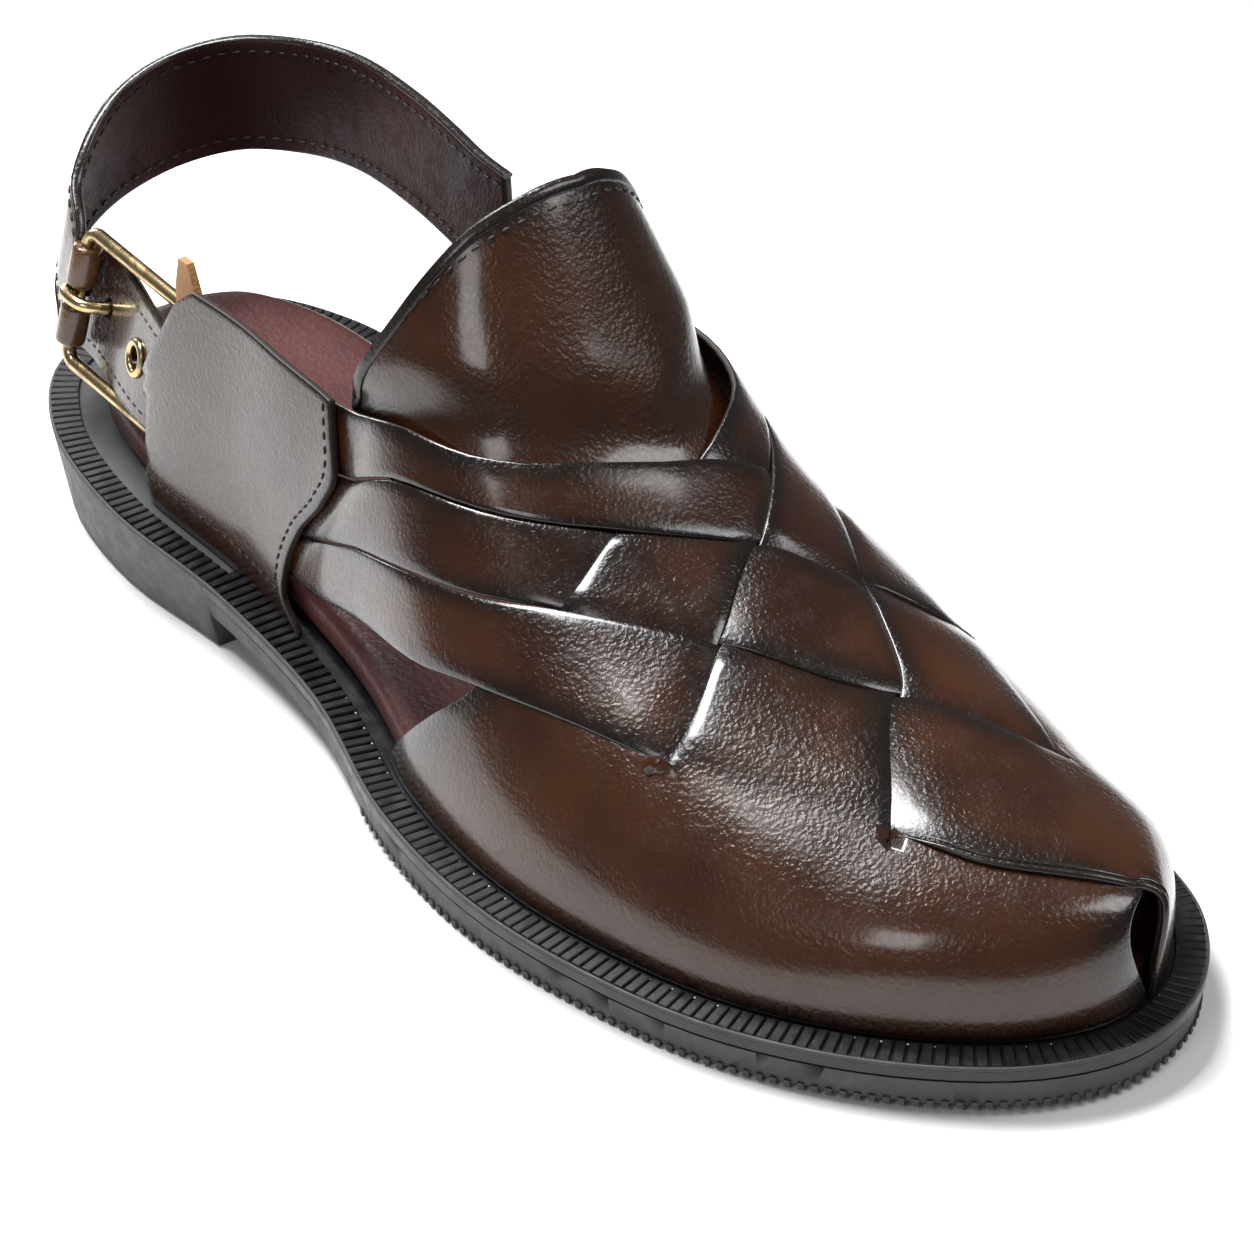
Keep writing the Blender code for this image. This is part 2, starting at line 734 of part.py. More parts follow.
def make_welt():
    """The welt layer, flush with the outsole's side, from the heel's front face to the toe."""
    outline = sole_outline()
    x = outline[:, 0]
    top = welt_top(x)
    loops = [
        loop_at(outline, SOLE_EDGE_CHAMFER * 0.5, top - WELT_THICKNESS),
        loop_at(outline, 0.0, top - WELT_THICKNESS * 0.85),
        loop_at(outline, 0.0, top - WELT_THICKNESS * 0.15),
        loop_at(outline, SOLE_EDGE_CHAMFER * 0.5, top),
    ]
    welt = add_object("welt", stack_mesh("welt", loops), RUBBER, 30)
    ahead = HEEL_LENGTH + GAP
    above = HEEL_BACK_HEIGHT * 3
    rear = [(-ahead, -above), (ahead, -above), (ahead, above), (-ahead, above)]
    cut(welt, prism("welt_end_cutter", rear, BALL_WIDTH))
    return welt


def footbed_thickness(x):
    """Thickness of the padded footbed, fuller at the heel."""
    share = smooth_rise((np.asarray(x) / SOLE_LENGTH - 0.25) / 0.40)
    return FOOTBED_HEEL + (FOOTBED_BALL - FOOTBED_HEEL) * share


def make_footbed():
    """The wrapped footbed: its side rounds over into a shallow dish."""
    outline = sole_outline()
    x = outline[:, 0]
    edge = rim_width(x) + UPPER_WALL + GAP * 2
    base = welt_top(x) + GAP
    thick = footbed_thickness(x)
    rounding = FOOTBED_ROUNDING
    loops = [
        loop_at(outline, edge + rounding * 0.2, base),
        loop_at(outline, edge, base + thick * 0.2),
        loop_at(outline, edge, base + thick - rounding),
        loop_at(outline, edge + rounding * 0.3, base + thick - rounding * 0.3),
        loop_at(outline, edge + rounding, base + thick),
        loop_at(outline, edge + rounding * 3.5, base + thick - FOOTBED_DISH),
    ]
    return add_object("footbed", stack_mesh("footbed", loops), LINING, 60)


def strap_line(number, count):
    """The place on the last of one strap edge, at a crossing count."""
    rows = STRAP_LINES[number]
    return np.stack([along_table(rows, 1, count), along_table(rows, 2, count)], axis=-1)


def mirrored(place):
    """The same place on the other side of the ridge."""
    return place * np.array((1.0, -1.0)) + np.array((0.0, 180.0))


def feather_line(count):
    """The outer wing's lower edge on the feather line, at a crossing count."""
    first = STRAP_LINES[0][-1][1]
    rows = [(0.0, first)] + [(float(i), STRAP_LINES[i][-1][1]) for i in (1, 2, 3)]
    share = along_table(rows, 1, count)
    return np.stack([share, np.zeros_like(share)], axis=-1)


def patch(u_edges, v_edges, low_v, high_v, low_u, high_u):
    """Blends a patch between its four edges; each edge is a line of places on the last."""
    u, v = np.asarray(u_edges)[:, None, None], np.asarray(v_edges)[None, :, None]
    u = (u - u.min()) / (u.max() - u.min())
    v = (v - v.min()) / (v.max() - v.min())
    across = low_v[:, None] * (1 - v) + high_v[:, None] * v
    along = low_u[None] * (1 - u) + high_u[None] * u
    corners = (
        low_v[0] * (1 - u) * (1 - v)
        + low_v[-1] * u * (1 - v)
        + high_v[0] * (1 - u) * v
        + high_v[-1] * u * v
    )
    return across + along - corners


def groove(share):
    """A strap's section: level, with a narrow groove at both edges."""
    return smooth_rise(np.minimum(share, 1 - share) / GROOVE_SHARE)


def dive(share):
    """How far a strap has risen from the edge that it comes up from under."""
    return np.sin(0.5 * np.pi * np.clip(share / 0.5, 0, 1)) ** 0.7


def crossing_height(i, j, fu, fv):
    """Height over the wall of the strap on top in one crossing, 0 to 1."""
    inner_on_top = (i + j) % 2 == 0
    along, across = (fu, fv) if inner_on_top else (fv, fu)
    position = i if inner_on_top else j
    side = groove(across)
    start = dive(along)
    if position == 1:
        start = side + (1 - side) * start
    end = dive(1 - along)
    if position == 3:
        end = side + (1 - side) * end
    return start * end


def cell_places(i, j, u, v):
    """Places on the last over one crossing."""
    return patch(
        u,
        v,
        strap_line(j - 1, u),
        strap_line(j, u),
        mirrored(strap_line(i - 1, v)),
        mirrored(strap_line(i, v)),
    )


def tail_places(j, u, v):
    """Places on the last over one strap's tail, from the quarter to its first crossing."""
    low, high = strap_line(j - 1, u), strap_line(j, u)
    share = (v - v[0])[:, None] / (v[-1] - v[0])
    end = low[0] * (1 - share) + high[0] * share
    return patch(u, v, low, high, end, mirrored(strap_line(0, v)))


def wing_places(i, u, v):
    """Places on the last over one third of the outer wing, from the weave down to the feather line."""
    return patch(
        u,
        v,
        strap_line(3, u),
        feather_line(u),
        mirrored(strap_line(i - 1, v)),
        mirrored(strap_line(i, v)),
    )


def lifted(places, lift):
    """Points at a lift over places on the last."""
    return on_last(places[..., 0], places[..., 1], lift)


def make_upper():
    """The woven vamp: one wall whose straps are raised where they come to the top."""
    skin = Skin()
    fractions = np.array(STRAP_SAMPLES)
    tops = {}
    for i in (1, 2, 3):
        for j in (1, 2, 3):
            u, v = i - 1 + fractions, j - 1 + fractions
            places = cell_places(i, j, u, v)
            height = crossing_height(i, j, fractions[:, None], fractions[None, :])
            top = lifted(places, STRAP_RAISE * height)
            skin.sheet(top)
            skin.sheet(lifted(places, np.full(places.shape[:2], -UPPER_WALL)), flip=True)
            tops[i, j] = top
    for i in (1, 2, 3):
        for j in (1, 2):
            skin.strip(tops[i, j][:, -1], tops[i, j + 1][:, 0])
            skin.strip(tops[j, i][-1], tops[j + 1, i][0])
    for flip_side in (False, True):
        add_tails(skin, fractions, tops, flip_side)
        add_wing(skin, fractions, tops, flip_side)
    return add_object("upper", skin.mesh("upper"), LEATHER, 35)


def turned(places, flip_side):
    """Places for the outer side, or their mirror image."""
    return mirrored(places) if flip_side else places


def add_tails(skin, fractions, tops, flip_side):
    """The three straps from the weave to under the quarter, side by side with grooves between."""
    share = np.linspace(0, 1, TAIL_SAMPLES + 1)
    u = -1 + share
    tuck = smooth_rise((TUCK_START - u) / (TUCK_START - TUCK_FULL))[:, None]
    for j in (1, 2, 3):
        v = j - 1 + fractions
        places = turned(tail_places(j, u, v), flip_side)
        lift = STRAP_RAISE * groove(fractions)[None, :] * (1 - tuck) - STRAP_TUCK * tuck
        top = lifted(places, lift)
        under = lifted(places, np.broadcast_to(-UPPER_WALL - STRAP_TUCK * tuck, lift.shape))
        skin.sheet(top)
        skin.sheet(under, flip=True)
        skin.strip(top[0], under[0])
        beside = tops[j, 1][:, 0] if flip_side else tops[1, j][0]
        skin.strip(top[-1], beside)
        if j == 1:
            skin.strip(top[:, 0], under[:, 0])
        if j == 3:
            skin.strip(top[:, -1], under[:, -1])


def add_wing(skin, fractions, tops, flip_side):
    """One wing, from the weave's front edge down to the feather line."""
    v = 3 + np.linspace(0, 1, WING_SAMPLES + 1)
    for i in (1, 2, 3):
        u = i - 1 + fractions
        places = turned(wing_places(i, u, v), flip_side)
        top = lifted(places, wing_lift(i, fractions, v - 3, flip_side))
        under = lifted(places, np.full(top.shape[:2], -UPPER_WALL))
        skin.sheet(top)
        skin.sheet(under, flip=True)
        skin.strip(top[:, -1], under[:, -1])
        beside = tops[3, i][-1] if flip_side else tops[i, 3][:, -1]
        skin.strip(top[:, 0], beside)
        if i == 1:
            skin.strip(top[0], under[0])
        if i == 3:
            skin.strip(top[-1], under[-1])


def wing_lift(i, fractions, down, flip_side):
    """Lift of a wing over the last: raised next to the straps of its own panel that come to the top."""
    own_on_top = (i + 3) % 2 == 1 if not flip_side else (i + 3) % 2 == 0
    side = groove(fractions)[:, None]
    fade = 1 - smooth_rise(down / 0.45)[None, :]
    return STRAP_RAISE * side * fade * (1.0 if own_on_top else 0.0)


def shield_ramp(share, degrees):
    """1 where the shield lies under the weave, easing to 0 on its free part."""
    turn = np.minimum(degrees, 180 - degrees)
    rows = [(row[2], row[1]) for row in STRAP_LINES[0][:5]]
    edge = along_table(rows, 1, turn)
    ahead = (edge - share) * SOLE_LENGTH
    return 1 - smooth_rise((ahead - GAP * 6) / SHIELD_TUCK_RAMP)


def make_shield():
    """The instep shield: a free curved flap above the weave, tucked under it along its lower edge."""
    across = np.linspace(0, 2, SHIELD_COLUMNS + 1)
    half = np.where(across <= 1, across, 2 - across)

    def edge(table):
        """One edge of the shield, mirrored over the ridge."""
        steps = [(k / (len(table) - 1), row[0], row[1]) for k, row in enumerate(table)]
        share, turn = along_table(steps, 1, half), along_table(steps, 2, half)
        return np.stack([share, np.where(across <= 1, turn, 180 - turn)], axis=-1)

    down = np.linspace(0, 1, SHIELD_ROWS + 1)[:, None, None]
    places = edge(SHIELD_TOP)[None] * (1 - down) + edge(SHIELD_FOOT)[None] * down
    ramp = shield_ramp(places[..., 0], places[..., 1])
    lift = -SHIELD_TUCK * ramp
    mesh = wall_from_grids("instep_shield", lifted(places, lift), lifted(places, lift - SHIELD_WALL))
    return add_object("instep_shield", mesh, LEATHER, 40)


def quarter_wall(name, rear, front):
    """A quarter: a wall over the last between its rear and front edges."""
    levels = np.linspace(0, 1, QUARTER_ROWS + 1)
    back = np.stack([along_table(rear, 1, levels), along_table(rear, 2, levels)], axis=-1)
    fore = np.stack([along_table(front, 1, levels), along_table(front, 2, levels)], axis=-1)
    across = np.linspace(0, 1, QUARTER_COLUMNS)[None, :, None]
    places = back[:, None] * (1 - across) + fore[:, None] * across
    if name == "quarter_medial":
        places = mirrored(places)
    shape = places.shape[:2]
    outside = lifted(places, np.full(shape, QUARTER_PROUD))
    inside = lifted(places, np.full(shape, QUARTER_PROUD - QUARTER_WALL))
    return add_object(name, wall_from_grids(name, outside, inside), LEATHER, 40)


def make_quarters():
    """Both quarters."""
    rear = [(h, x, d) for h, x, d, _, _ in QUARTER]
    front = [(h, x, d) for h, _, _, x, d in QUARTER]
    quarter_wall("quarter_lateral", rear, front)
    quarter_wall("quarter_medial", INNER_QUARTER_REAR, front)


def scaled(rows):
    """Rows of shares as points: along the length, across the ball width and up the instep height."""
    return [(x * SOLE_LENGTH, y * BALL_WIDTH, z * INSTEP_HEIGHT) for x, y, z in rows]


def unit(vector):
    """The vector at a length of one."""
    return np.array(vector) / np.linalg.norm(vector)


def buckle_axes():
    """The rear bar's middle, then the directions across the strap's width, along the strap and outward."""
    place = np.array((BUCKLE_ALONG * SOLE_LENGTH, BUCKLE_ACROSS * BALL_WIDTH, BUCKLE_UP * INSTEP_HEIGHT))
    along = unit(BUCKLE_STRAP_LINE)
    width = unit(BUCKLE_WIDTH_LINE)
    width = unit(width - along * along.dot(width))
    return place, width, along, np.cross(along, width)


def band_grids(path, widths, ups, thickness):
    """The outer and inner faces of a strap along a path, with its width held along the up directions."""
    along = np.gradient(path, axis=0)
    along /= np.linalg.norm(along, axis=1)[:, None]
    ups = ups / np.linalg.norm(ups, axis=1)[:, None]
    out = np.cross(along, ups)
    out /= np.linalg.norm(out, axis=1)[:, None]
    levels = np.linspace(-0.5, 0.5, 4)[None, :, None]
    middle = path[:, None] + ups[:, None] * levels * np.asarray(widths)[:, None, None]
    return middle + out[:, None] * thickness / 2, middle - out[:, None] * thickness / 2


def tube(name, start, end, outer, inner, sides=20):
    """A short straight tube, or a solid pin where the inner radius is 0."""
    axis = unit(np.array(end) - np.array(start))
    side = unit(np.cross(axis, (0.0, 1.0, 0.0) if abs(axis[1]) < 0.7 else (0.0, 0.0, 1.0)))
    other = np.cross(axis, side)
    turn = np.linspace(0, 2 * np.pi, sides, endpoint=False)
    ring = np.cos(turn)[:, None] * side + np.sin(turn)[:, None] * other
    if inner == 0:
        points = np.vstack([start + ring * outer, end + ring * outer])
        rows, caps = 1, [tuple(range(sides)), tuple(range(sides, 2 * sides))]
    else:
        points = np.vstack([start + ring * inner, start + ring * outer, end + ring * outer, end + ring * inner])
        rows, caps = 4, []
    total = len(points) // sides
    faces = list(caps)
    for r in range(rows):
        s = (r + 1) % total
        for c in range(sides):
            d = (c + 1) % sides
            faces.append((r * sides + c, r * sides + d, s * sides + d, s * sides + c))
    return mesh_from_faces(name, points, faces)


def union_piece(part, mesh):
    """Joins a mesh to a part with a Boolean union."""
    cut(part, add_cutter(mesh.name, mesh), "UNION")


def make_heel_strap():
    """The sling-back strap: round the heel from the inner quarter to the sleeve on the buckle's rear bar."""
    place, width, along, _ = buckle_axes()
    sleeve_inner = ROD_DIAMETER / 2 + GAP
    sleeve_outer = sleeve_inner + SLEEVE_WALL
    end = place - along * (sleeve_inner + SLEEVE_WALL * 0.6)
    path = open_curve([*scaled(HEEL_STRAP), tuple(end)], STRAP_SECTIONS)
    share = np.linspace(0, 1, len(path))
    ups = np.array((0.0, 0.0, 1.0)) + (width - np.array((0.0, 0.0, 1.0))) * smooth_rise((share - 0.6) / 0.4)[:, None]
    widths = STRAP_WIDTH + (STRAP_END_WIDTH - STRAP_WIDTH) * smooth_rise((share - 0.7) / 0.3)
    outer, inner = band_grids(path, widths, ups, STRAP_THICKNESS)
    mesh = wall_from_grids("heel_strap", outer, inner)
    strap = add_object("heel_strap", mesh, LEATHER, 40)
    half = SLEEVE_NOTCH / 2
    room = ROD_DIAMETER / 2 + GAP * 2 + PRONG_DIAMETER
    notch = tube("notch_cutter", place - width * half, place + width * half, room, 0)
    cut(strap, add_cutter("notch_cutter", notch))
    reach = STRAP_END_WIDTH / 2
    for low, high, name in (
        (-reach, -SLEEVE_NOTCH / 2, "sleeve_low"),
        (SLEEVE_NOTCH / 2, reach, "sleeve_high"),
    ):
        sleeve = tube(name, place + width * low, place + width * high, sleeve_outer, sleeve_inner)
        union_piece(strap, sleeve)
    return strap


def rod_curve(name, points, diameter, finish, closed):
    """A round rod along points."""
    curve = bpy.data.curves.new(name, "CURVE")
    curve.dimensions = "3D"
    curve.bevel_depth = diameter / 2
    curve.bevel_resolution = 2
    curve.use_fill_caps = not closed
    spline = curve.splines.new("POLY")
    spline.points.add(len(points) - 1)
    for target, point in zip(spline.points, points):
        target.co = (*(np.array(point) - ORIGIN), 1.0)
    spline.use_cyclic_u = closed
    curve.materials.append(material(finish))
    part = bpy.data.objects.new(name, curve)
    bpy.context.scene.collection.objects.link(part)
    return part


def frame_points():
    """The buckle frame's middle line: a rectangle with round corners, its rear bar through the sleeve."""
    place, width, along, _ = buckle_axes()
    half, corner = FRAME_HEIGHT / 2, FRAME_CORNER
    centers = [
        (FRAME_LENGTH - corner, half - corner, 0.0),
        (corner, half - corner, 0.5),
        (corner, corner - half, 1.0),
        (FRAME_LENGTH - corner, corner - half, 1.5),
    ]
    points = []
    for a, w, turn in centers:
        for step in np.linspace(0, 0.5, 6):
            angle = np.pi * (turn + step)
            points.append(
                place + along * (a + corner * np.cos(angle)) + width * (w + corner * np.sin(angle))
            )
    return points


def make_buckle():
    """The frame, and the prong that is hooked round its rear bar and goes through the billet."""
    rod_curve("buckle_frame", frame_points(), ROD_DIAMETER, BRASS, True)
    place, _, along, out = buckle_axes()
    wrap = ROD_DIAMETER / 2 + GAP + PRONG_DIAMETER / 2
    hook = [(-wrap * math.sin(math.pi * t), wrap * math.cos(math.pi * t)) for t in np.linspace(0.95, 0.0, 7)]
    reach = [(a * FRAME_LENGTH, o * FRAME_LENGTH) for a, o in PRONG]
    route = open_curve([place + along * a + out * o for a, o in hook + reach], 30)
    rod_curve("buckle_prong", route, PRONG_DIAMETER, BRASS, False)


def billet_frame(share):
    """A place of the billet's middle line with its direction along, across its width and outward."""
    path = open_curve(scaled([row[:3] for row in BILLET]), 200)
    number = int(round(share * (len(path) - 1)))
    along = unit(path[number - 1] - path[number + 1])
    lean = along_table([(-row[0], row[3]) for row in BILLET], 1, -path[number][0] / SOLE_LENGTH)
    width = unit((BUCKLE_WIDTH_LINE[0], float(lean), 1.0))
    width = unit(width - along * along.dot(width))
    return path[number], along, width, np.cross(along, width)


def make_billet():
    """The billet: from under the outer quarter, over the front bar, through the frame and under the rear bar."""
    path = open_curve(scaled([row[:3] for row in BILLET]), 24)[::-1]
    leans = along_table([(-row[0], row[3]) for row in BILLET], 1, -path[:, 0] / SOLE_LENGTH)
    ups = np.column_stack([np.full(len(path), BUCKLE_WIDTH_LINE[0]), leans, np.ones(len(path))])
    outer, inner = band_grids(path, np.full(len(path), BILLET_WIDTH), ups, BILLET_THICKNESS)
    mesh = wall_from_grids("billet_strap", outer, inner)
    billet = add_object("billet_strap", mesh, LEATHER, 40)
    place, width, _, _ = buckle_axes()
    for name, share, radius, level in (
        ("prong_hole_cutter", PRONG_HOLE_SHARE, PRONG_DIAMETER, True),
        ("eyelet_hole_cutter", EYELET_SHARE, EYELET_BORE / 2 + EYELET_BARREL + GAP, False),
    ):
        middle, _, _, out = billet_frame(share)
        if level:
            middle = middle + width * (place - middle).dot(width)
        cutter = tube(name, middle - out * BILLET_THICKNESS * 2, middle + out * BILLET_THICKNESS * 2, radius, 0)
        add_cutter(name, cutter)
        cut(billet, bpy.data.objects[name])
    return billet


def make_eyelet():
    """The brass eyelet: a rounded flange on the billet with a short barrel through it."""
    middle, along, width, out = billet_frame(EYELET_SHARE)
    bore, barrel, flange = EYELET_BORE / 2, EYELET_BORE / 2 + EYELET_BARREL, EYELET_OUTER / 2
    face = BILLET_THICKNESS / 2 + GAP
    section = [
        (bore, -BILLET_THICKNESS / 2),
        (barrel, -BILLET_THICKNESS / 2),
        (barrel, face),
        (flange - EYELET_HEIGHT * 0.2, face),
        (flange, face + EYELET_HEIGHT * 0.4),
        (flange - EYELET_HEIGHT * 0.5, face + EYELET_HEIGHT),
        (bore + EYELET_HEIGHT * 0.6, face + EYELET_HEIGHT),
        (bore, face + EYELET_HEIGHT * 0.4),
    ]
    sides = 18
    rings = []
    for radius, lift in section:
        for turn in np.linspace(0, 2 * np.pi, sides, endpoint=False):
            spoke = along * math.cos(turn) + width * math.sin(turn)
            rings.append(middle + spoke * radius + out * lift)
    faces = []
    for r in range(len(section)):
        s = (r + 1) % len(section)
        for c in range(sides):
            d = (c + 1) % sides
            faces.append((r * sides + c, r * sides + d, s * sides + d, s * sides + c))
    return add_object("billet_eyelet", mesh_from_faces("billet_eyelet", rings, faces), BRASS, 50)


def make_strap_tip():
    """The pointed end of the lining strap, which stands up inside the outer quarter."""
    place, _, along, _ = buckle_axes()
    start = place[0] + along[0] * (FRAME_LENGTH + ROD_DIAMETER / 2) + TIP_CLEARANCE
    rows = []
    for first, last, height in ((0.0, 1.0, TIP_LOW), (0.0, 1.0, TIP_SHOULDER), (0.22, 0.62, TIP_TOP)):
        stations = start + np.linspace(first, last, 3) * TIP_WIDTH
        rows.append([(x, TIP_ACROSS * BALL_WIDTH, height * INSTEP_HEIGHT) for x in stations])
    face = np.array(rows)
    back = face + np.array((0.0, TIP_THICKNESS, 0.0))
    return add_object("strap_tip", wall_from_grids("strap_tip", face, back), TAN, 40)


def main():
    """Clears the scene and makes every sub-part."""
    for old in list(bpy.data.objects):
        bpy.data.objects.remove(old, do_unlink=True)
    make_outsole()
    make_welt()
    make_footbed()
    make_upper()
    make_shield()
    make_quarters()
    make_heel_strap()
    make_buckle()
    make_billet()
    make_eyelet()
    make_strap_tip()


main()
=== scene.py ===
"""Dresses the packed sandal: woven leather, stitched straps, a brass buckle and a ribbed rubber sole.

Metres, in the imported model's own frame: +X to the toe, -Y to the outer side, +Z up. The
curved pieces are laid on the last, the same surface that the solids are laid on.
"""

import logging
import math
from dataclasses import dataclass, field
from enum import Enum
from typing import Iterable, Sequence

import bmesh
import bpy
import numpy as np
from mathutils import Matrix, Vector


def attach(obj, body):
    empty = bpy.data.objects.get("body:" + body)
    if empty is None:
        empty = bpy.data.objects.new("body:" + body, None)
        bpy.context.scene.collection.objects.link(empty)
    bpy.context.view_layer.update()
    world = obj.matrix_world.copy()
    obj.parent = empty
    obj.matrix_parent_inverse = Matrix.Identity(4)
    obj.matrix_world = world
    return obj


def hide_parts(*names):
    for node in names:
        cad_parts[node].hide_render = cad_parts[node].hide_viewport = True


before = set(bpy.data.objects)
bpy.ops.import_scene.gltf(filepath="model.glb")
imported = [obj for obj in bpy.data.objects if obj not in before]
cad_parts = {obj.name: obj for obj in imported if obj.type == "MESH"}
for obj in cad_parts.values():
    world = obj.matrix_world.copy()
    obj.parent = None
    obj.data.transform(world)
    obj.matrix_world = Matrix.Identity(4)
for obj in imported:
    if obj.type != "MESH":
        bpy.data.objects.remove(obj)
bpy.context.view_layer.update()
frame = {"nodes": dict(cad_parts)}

Array = np.ndarray
Row = tuple[float, ...]
Shape = bmesh.types.BMesh
Socket = bpy.types.NodeSocket
LOG = logging.getLogger("sandal")
BODY = "root"
UP = (0.0, 0.0, 1.0)

# Rows of the sole's outline: share of the length, then the outer and inner half width.
OUTLINE: tuple[Row, ...] = (
    (0.024, 0.191, 0.218),
    (0.093, 0.318, 0.327),
    (0.203, 0.373, 0.364),
    (0.321, 0.350, 0.368),
    (0.438, 0.364, 0.402),
    (0.559, 0.445, 0.482),
    (0.662, 0.464, 0.537),
    (0.755, 0.427, 0.534),
    (0.848, 0.345, 0.488),
    (0.931, 0.198, 0.417),
    (0.983, 0.030, 0.284),
)
# Rows of the welt's top: share of the length and share of the rise.
WELT_RISE: tuple[Row, ...] = (
    (0.000, 1.000),
    (0.207, 0.756),
    (0.310, 0.540),
    (0.414, 0.286),
    (0.517, 0.110),
    (0.621, 0.025),
    (0.724, 0.000),
    (1.000, 0.000),
)
# Rows of the last's ridge: share of the length, sideways place and height.
RIDGE: tuple[Row, ...] = (
    (0.207, 0.045, 0.858),
    (0.345, 0.073, 0.883),
    (0.414, 0.092, 0.879),
    (0.448, 0.098, 0.839),
    (0.479, 0.099, 0.769),
    (0.507, 0.100, 0.684),
    (0.534, 0.100, 0.598),
    (0.566, 0.105, 0.511),
    (0.597, 0.109, 0.446),
    (0.655, 0.118, 0.369),
    (0.717, 0.127, 0.314),
    (0.779, 0.136, 0.269),
    (0.845, 0.145, 0.233),
    (0.897, 0.155, 0.208),
    (0.938, 0.172, 0.183),
    (0.962, 0.190, 0.157),
    (0.974, 0.202, 0.128),
)
# Rows of the sections' fullness: share of the length, then the outer, inner and top powers.
FULLNESS: tuple[Row, ...] = (
    (0.207, 0.55, 0.55, 1.00),
    (0.345, 0.60, 0.60, 1.00),
    (0.417, 0.90, 0.83, 1.00),
    (0.517, 0.95, 0.96, 1.00),
    (0.621, 0.85, 0.91, 1.00),
    (0.745, 0.80, 0.82, 0.97),
    (0.828, 0.78, 0.72, 0.95),
    (1.000, 0.75, 0.60, 0.90),
)
# Edge lines of the straps of one panel: crossing count, share of the length, degrees.
STRAP_LINES: tuple[tuple[Row, ...], ...] = (
    (
        (-1.0, 0.386, 27.5),
        (-0.8, 0.421, 29.0),
        (-0.5, 0.503, 43.0),
        (-0.25, 0.555, 61.0),
        (0.0, 0.597, 90.0),
        (1.0, 0.610, 108.0),
        (2.0, 0.621, 125.0),
        (3.0, 0.603, 148.0),
        (3.5, 0.569, 163.0),
        (4.0, 0.517, 180.0),
    ),
    (
        (-1.0, 0.390, 19.5),
        (-0.8, 0.428, 22.0),
        (-0.5, 0.503, 36.0),
        (-0.25, 0.566, 54.0),
        (0.0, 0.610, 72.0),
        (1.0, 0.652, 90.0),
        (2.0, 0.697, 105.0),
        (3.0, 0.731, 130.0),
        (3.5, 0.728, 154.0),
        (4.0, 0.717, 180.0),
    ),
    (
        (-1.0, 0.348, 9.5),
        (-0.8, 0.383, 11.0),
        (-0.5, 0.479, 21.0),
        (-0.25, 0.562, 38.0),
        (0.0, 0.621, 55.0),
        (1.0, 0.697, 75.0),
        (2.0, 0.776, 90.0),
        (3.0, 0.855, 112.0),
        (3.5, 0.886, 143.0),
        (4.0, 0.903, 180.0),
    ),
    (
        (-1.0, 0.334, 3.5),
        (-0.8, 0.369, 4.5),
        (-0.5, 0.466, 11.0),
        (-0.25, 0.545, 21.0),
        (0.0, 0.603, 32.0),
        (0.5, 0.672, 43.0),
        (1.0, 0.731, 50.0),
        (1.5, 0.793, 59.0),
        (2.0, 0.855, 68.0),
        (2.5, 0.917, 76.5),
        (3.0, 0.9540, 90.0),
        (3.25, 0.9620, 108.0),
        (3.5, 0.9672, 130.0),
        (3.75, 0.9700, 155.0),
        (4.0, 0.9712, 180.0),
    ),
)
# Rows of the shield's free edge and of its hidden foot: share of the length, degrees.
SHIELD_TOP: tuple[Row, ...] = ((0.417, 29.0), (0.452, 47.0), (0.467, 62.0), (0.477, 78.0), (0.480, 90.0))
SHIELD_FOOT: tuple[Row, ...] = ((0.448, 25.0), (0.531, 38.0), (0.583, 56.0), (0.610, 71.0), (0.631, 90.0))
# Rows of the outer quarter: share of its height, then share of the length and degrees of its edges.
QUARTER: tuple[Row, ...] = (
    (0.00, 0.213, 0.0, 0.383, 0.0),
    (0.10, 0.202, 3.0, 0.364, 3.0),
    (0.22, 0.195, 6.5, 0.369, 6.5),
    (0.40, 0.197, 11.5, 0.386, 12.0),
    (0.60, 0.213, 17.5, 0.412, 17.5),
    (0.78, 0.231, 22.5, 0.424, 22.0),
    (0.90, 0.243, 26.0, 0.417, 26.0),
    (1.00, 0.260, 28.5, 0.411, 29.0),
)
# Rows of the inner quarter's rear edge: share of its height, share of the length, degrees.
INNER_QUARTER_REAR: tuple[Row, ...] = (
    (0.00, 0.213, 0.0),
    (0.20, 0.222, 8.0),
    (0.45, 0.243, 18.0),
    (0.70, 0.270, 25.0),
    (0.90, 0.290, 31.5),
    (1.00, 0.300, 34.0),
)
# Rows of the heel strap's middle line: shares along, across and up.
HEEL_STRAP: tuple[Row, ...] = (
    (0.331, 0.243, 0.577),
    (0.300, 0.247, 0.579),
    (0.255, 0.262, 0.585),
    (0.207, 0.273, 0.591),
    (0.138, 0.280, 0.587),
    (0.076, 0.262, 0.564),
    (0.037, 0.192, 0.552),
    (0.020, 0.095, 0.536),
    (0.020, 0.002, 0.520),
    (0.029, -0.078, 0.502),
    (0.042, -0.148, 0.473),
    (0.055, -0.200, 0.432),
    (0.075, -0.228, 0.396),
)
# Rows of the billet's middle line: shares along, across and up, and the lean of its width.
BILLET: tuple[Row, ...] = (
    (0.290, -0.257, 0.347, 0.03),
    (0.255, -0.262, 0.345, 0.05),
    (0.224, -0.266, 0.343, 0.10),
    (0.207, -0.265, 0.343, 0.16),
    (0.176, -0.252, 0.347, 0.22),
    (0.141, -0.228, 0.349, 0.24),
    (0.110, -0.208, 0.348, 0.24),
    (0.078, -0.198, 0.346, 0.24),
)
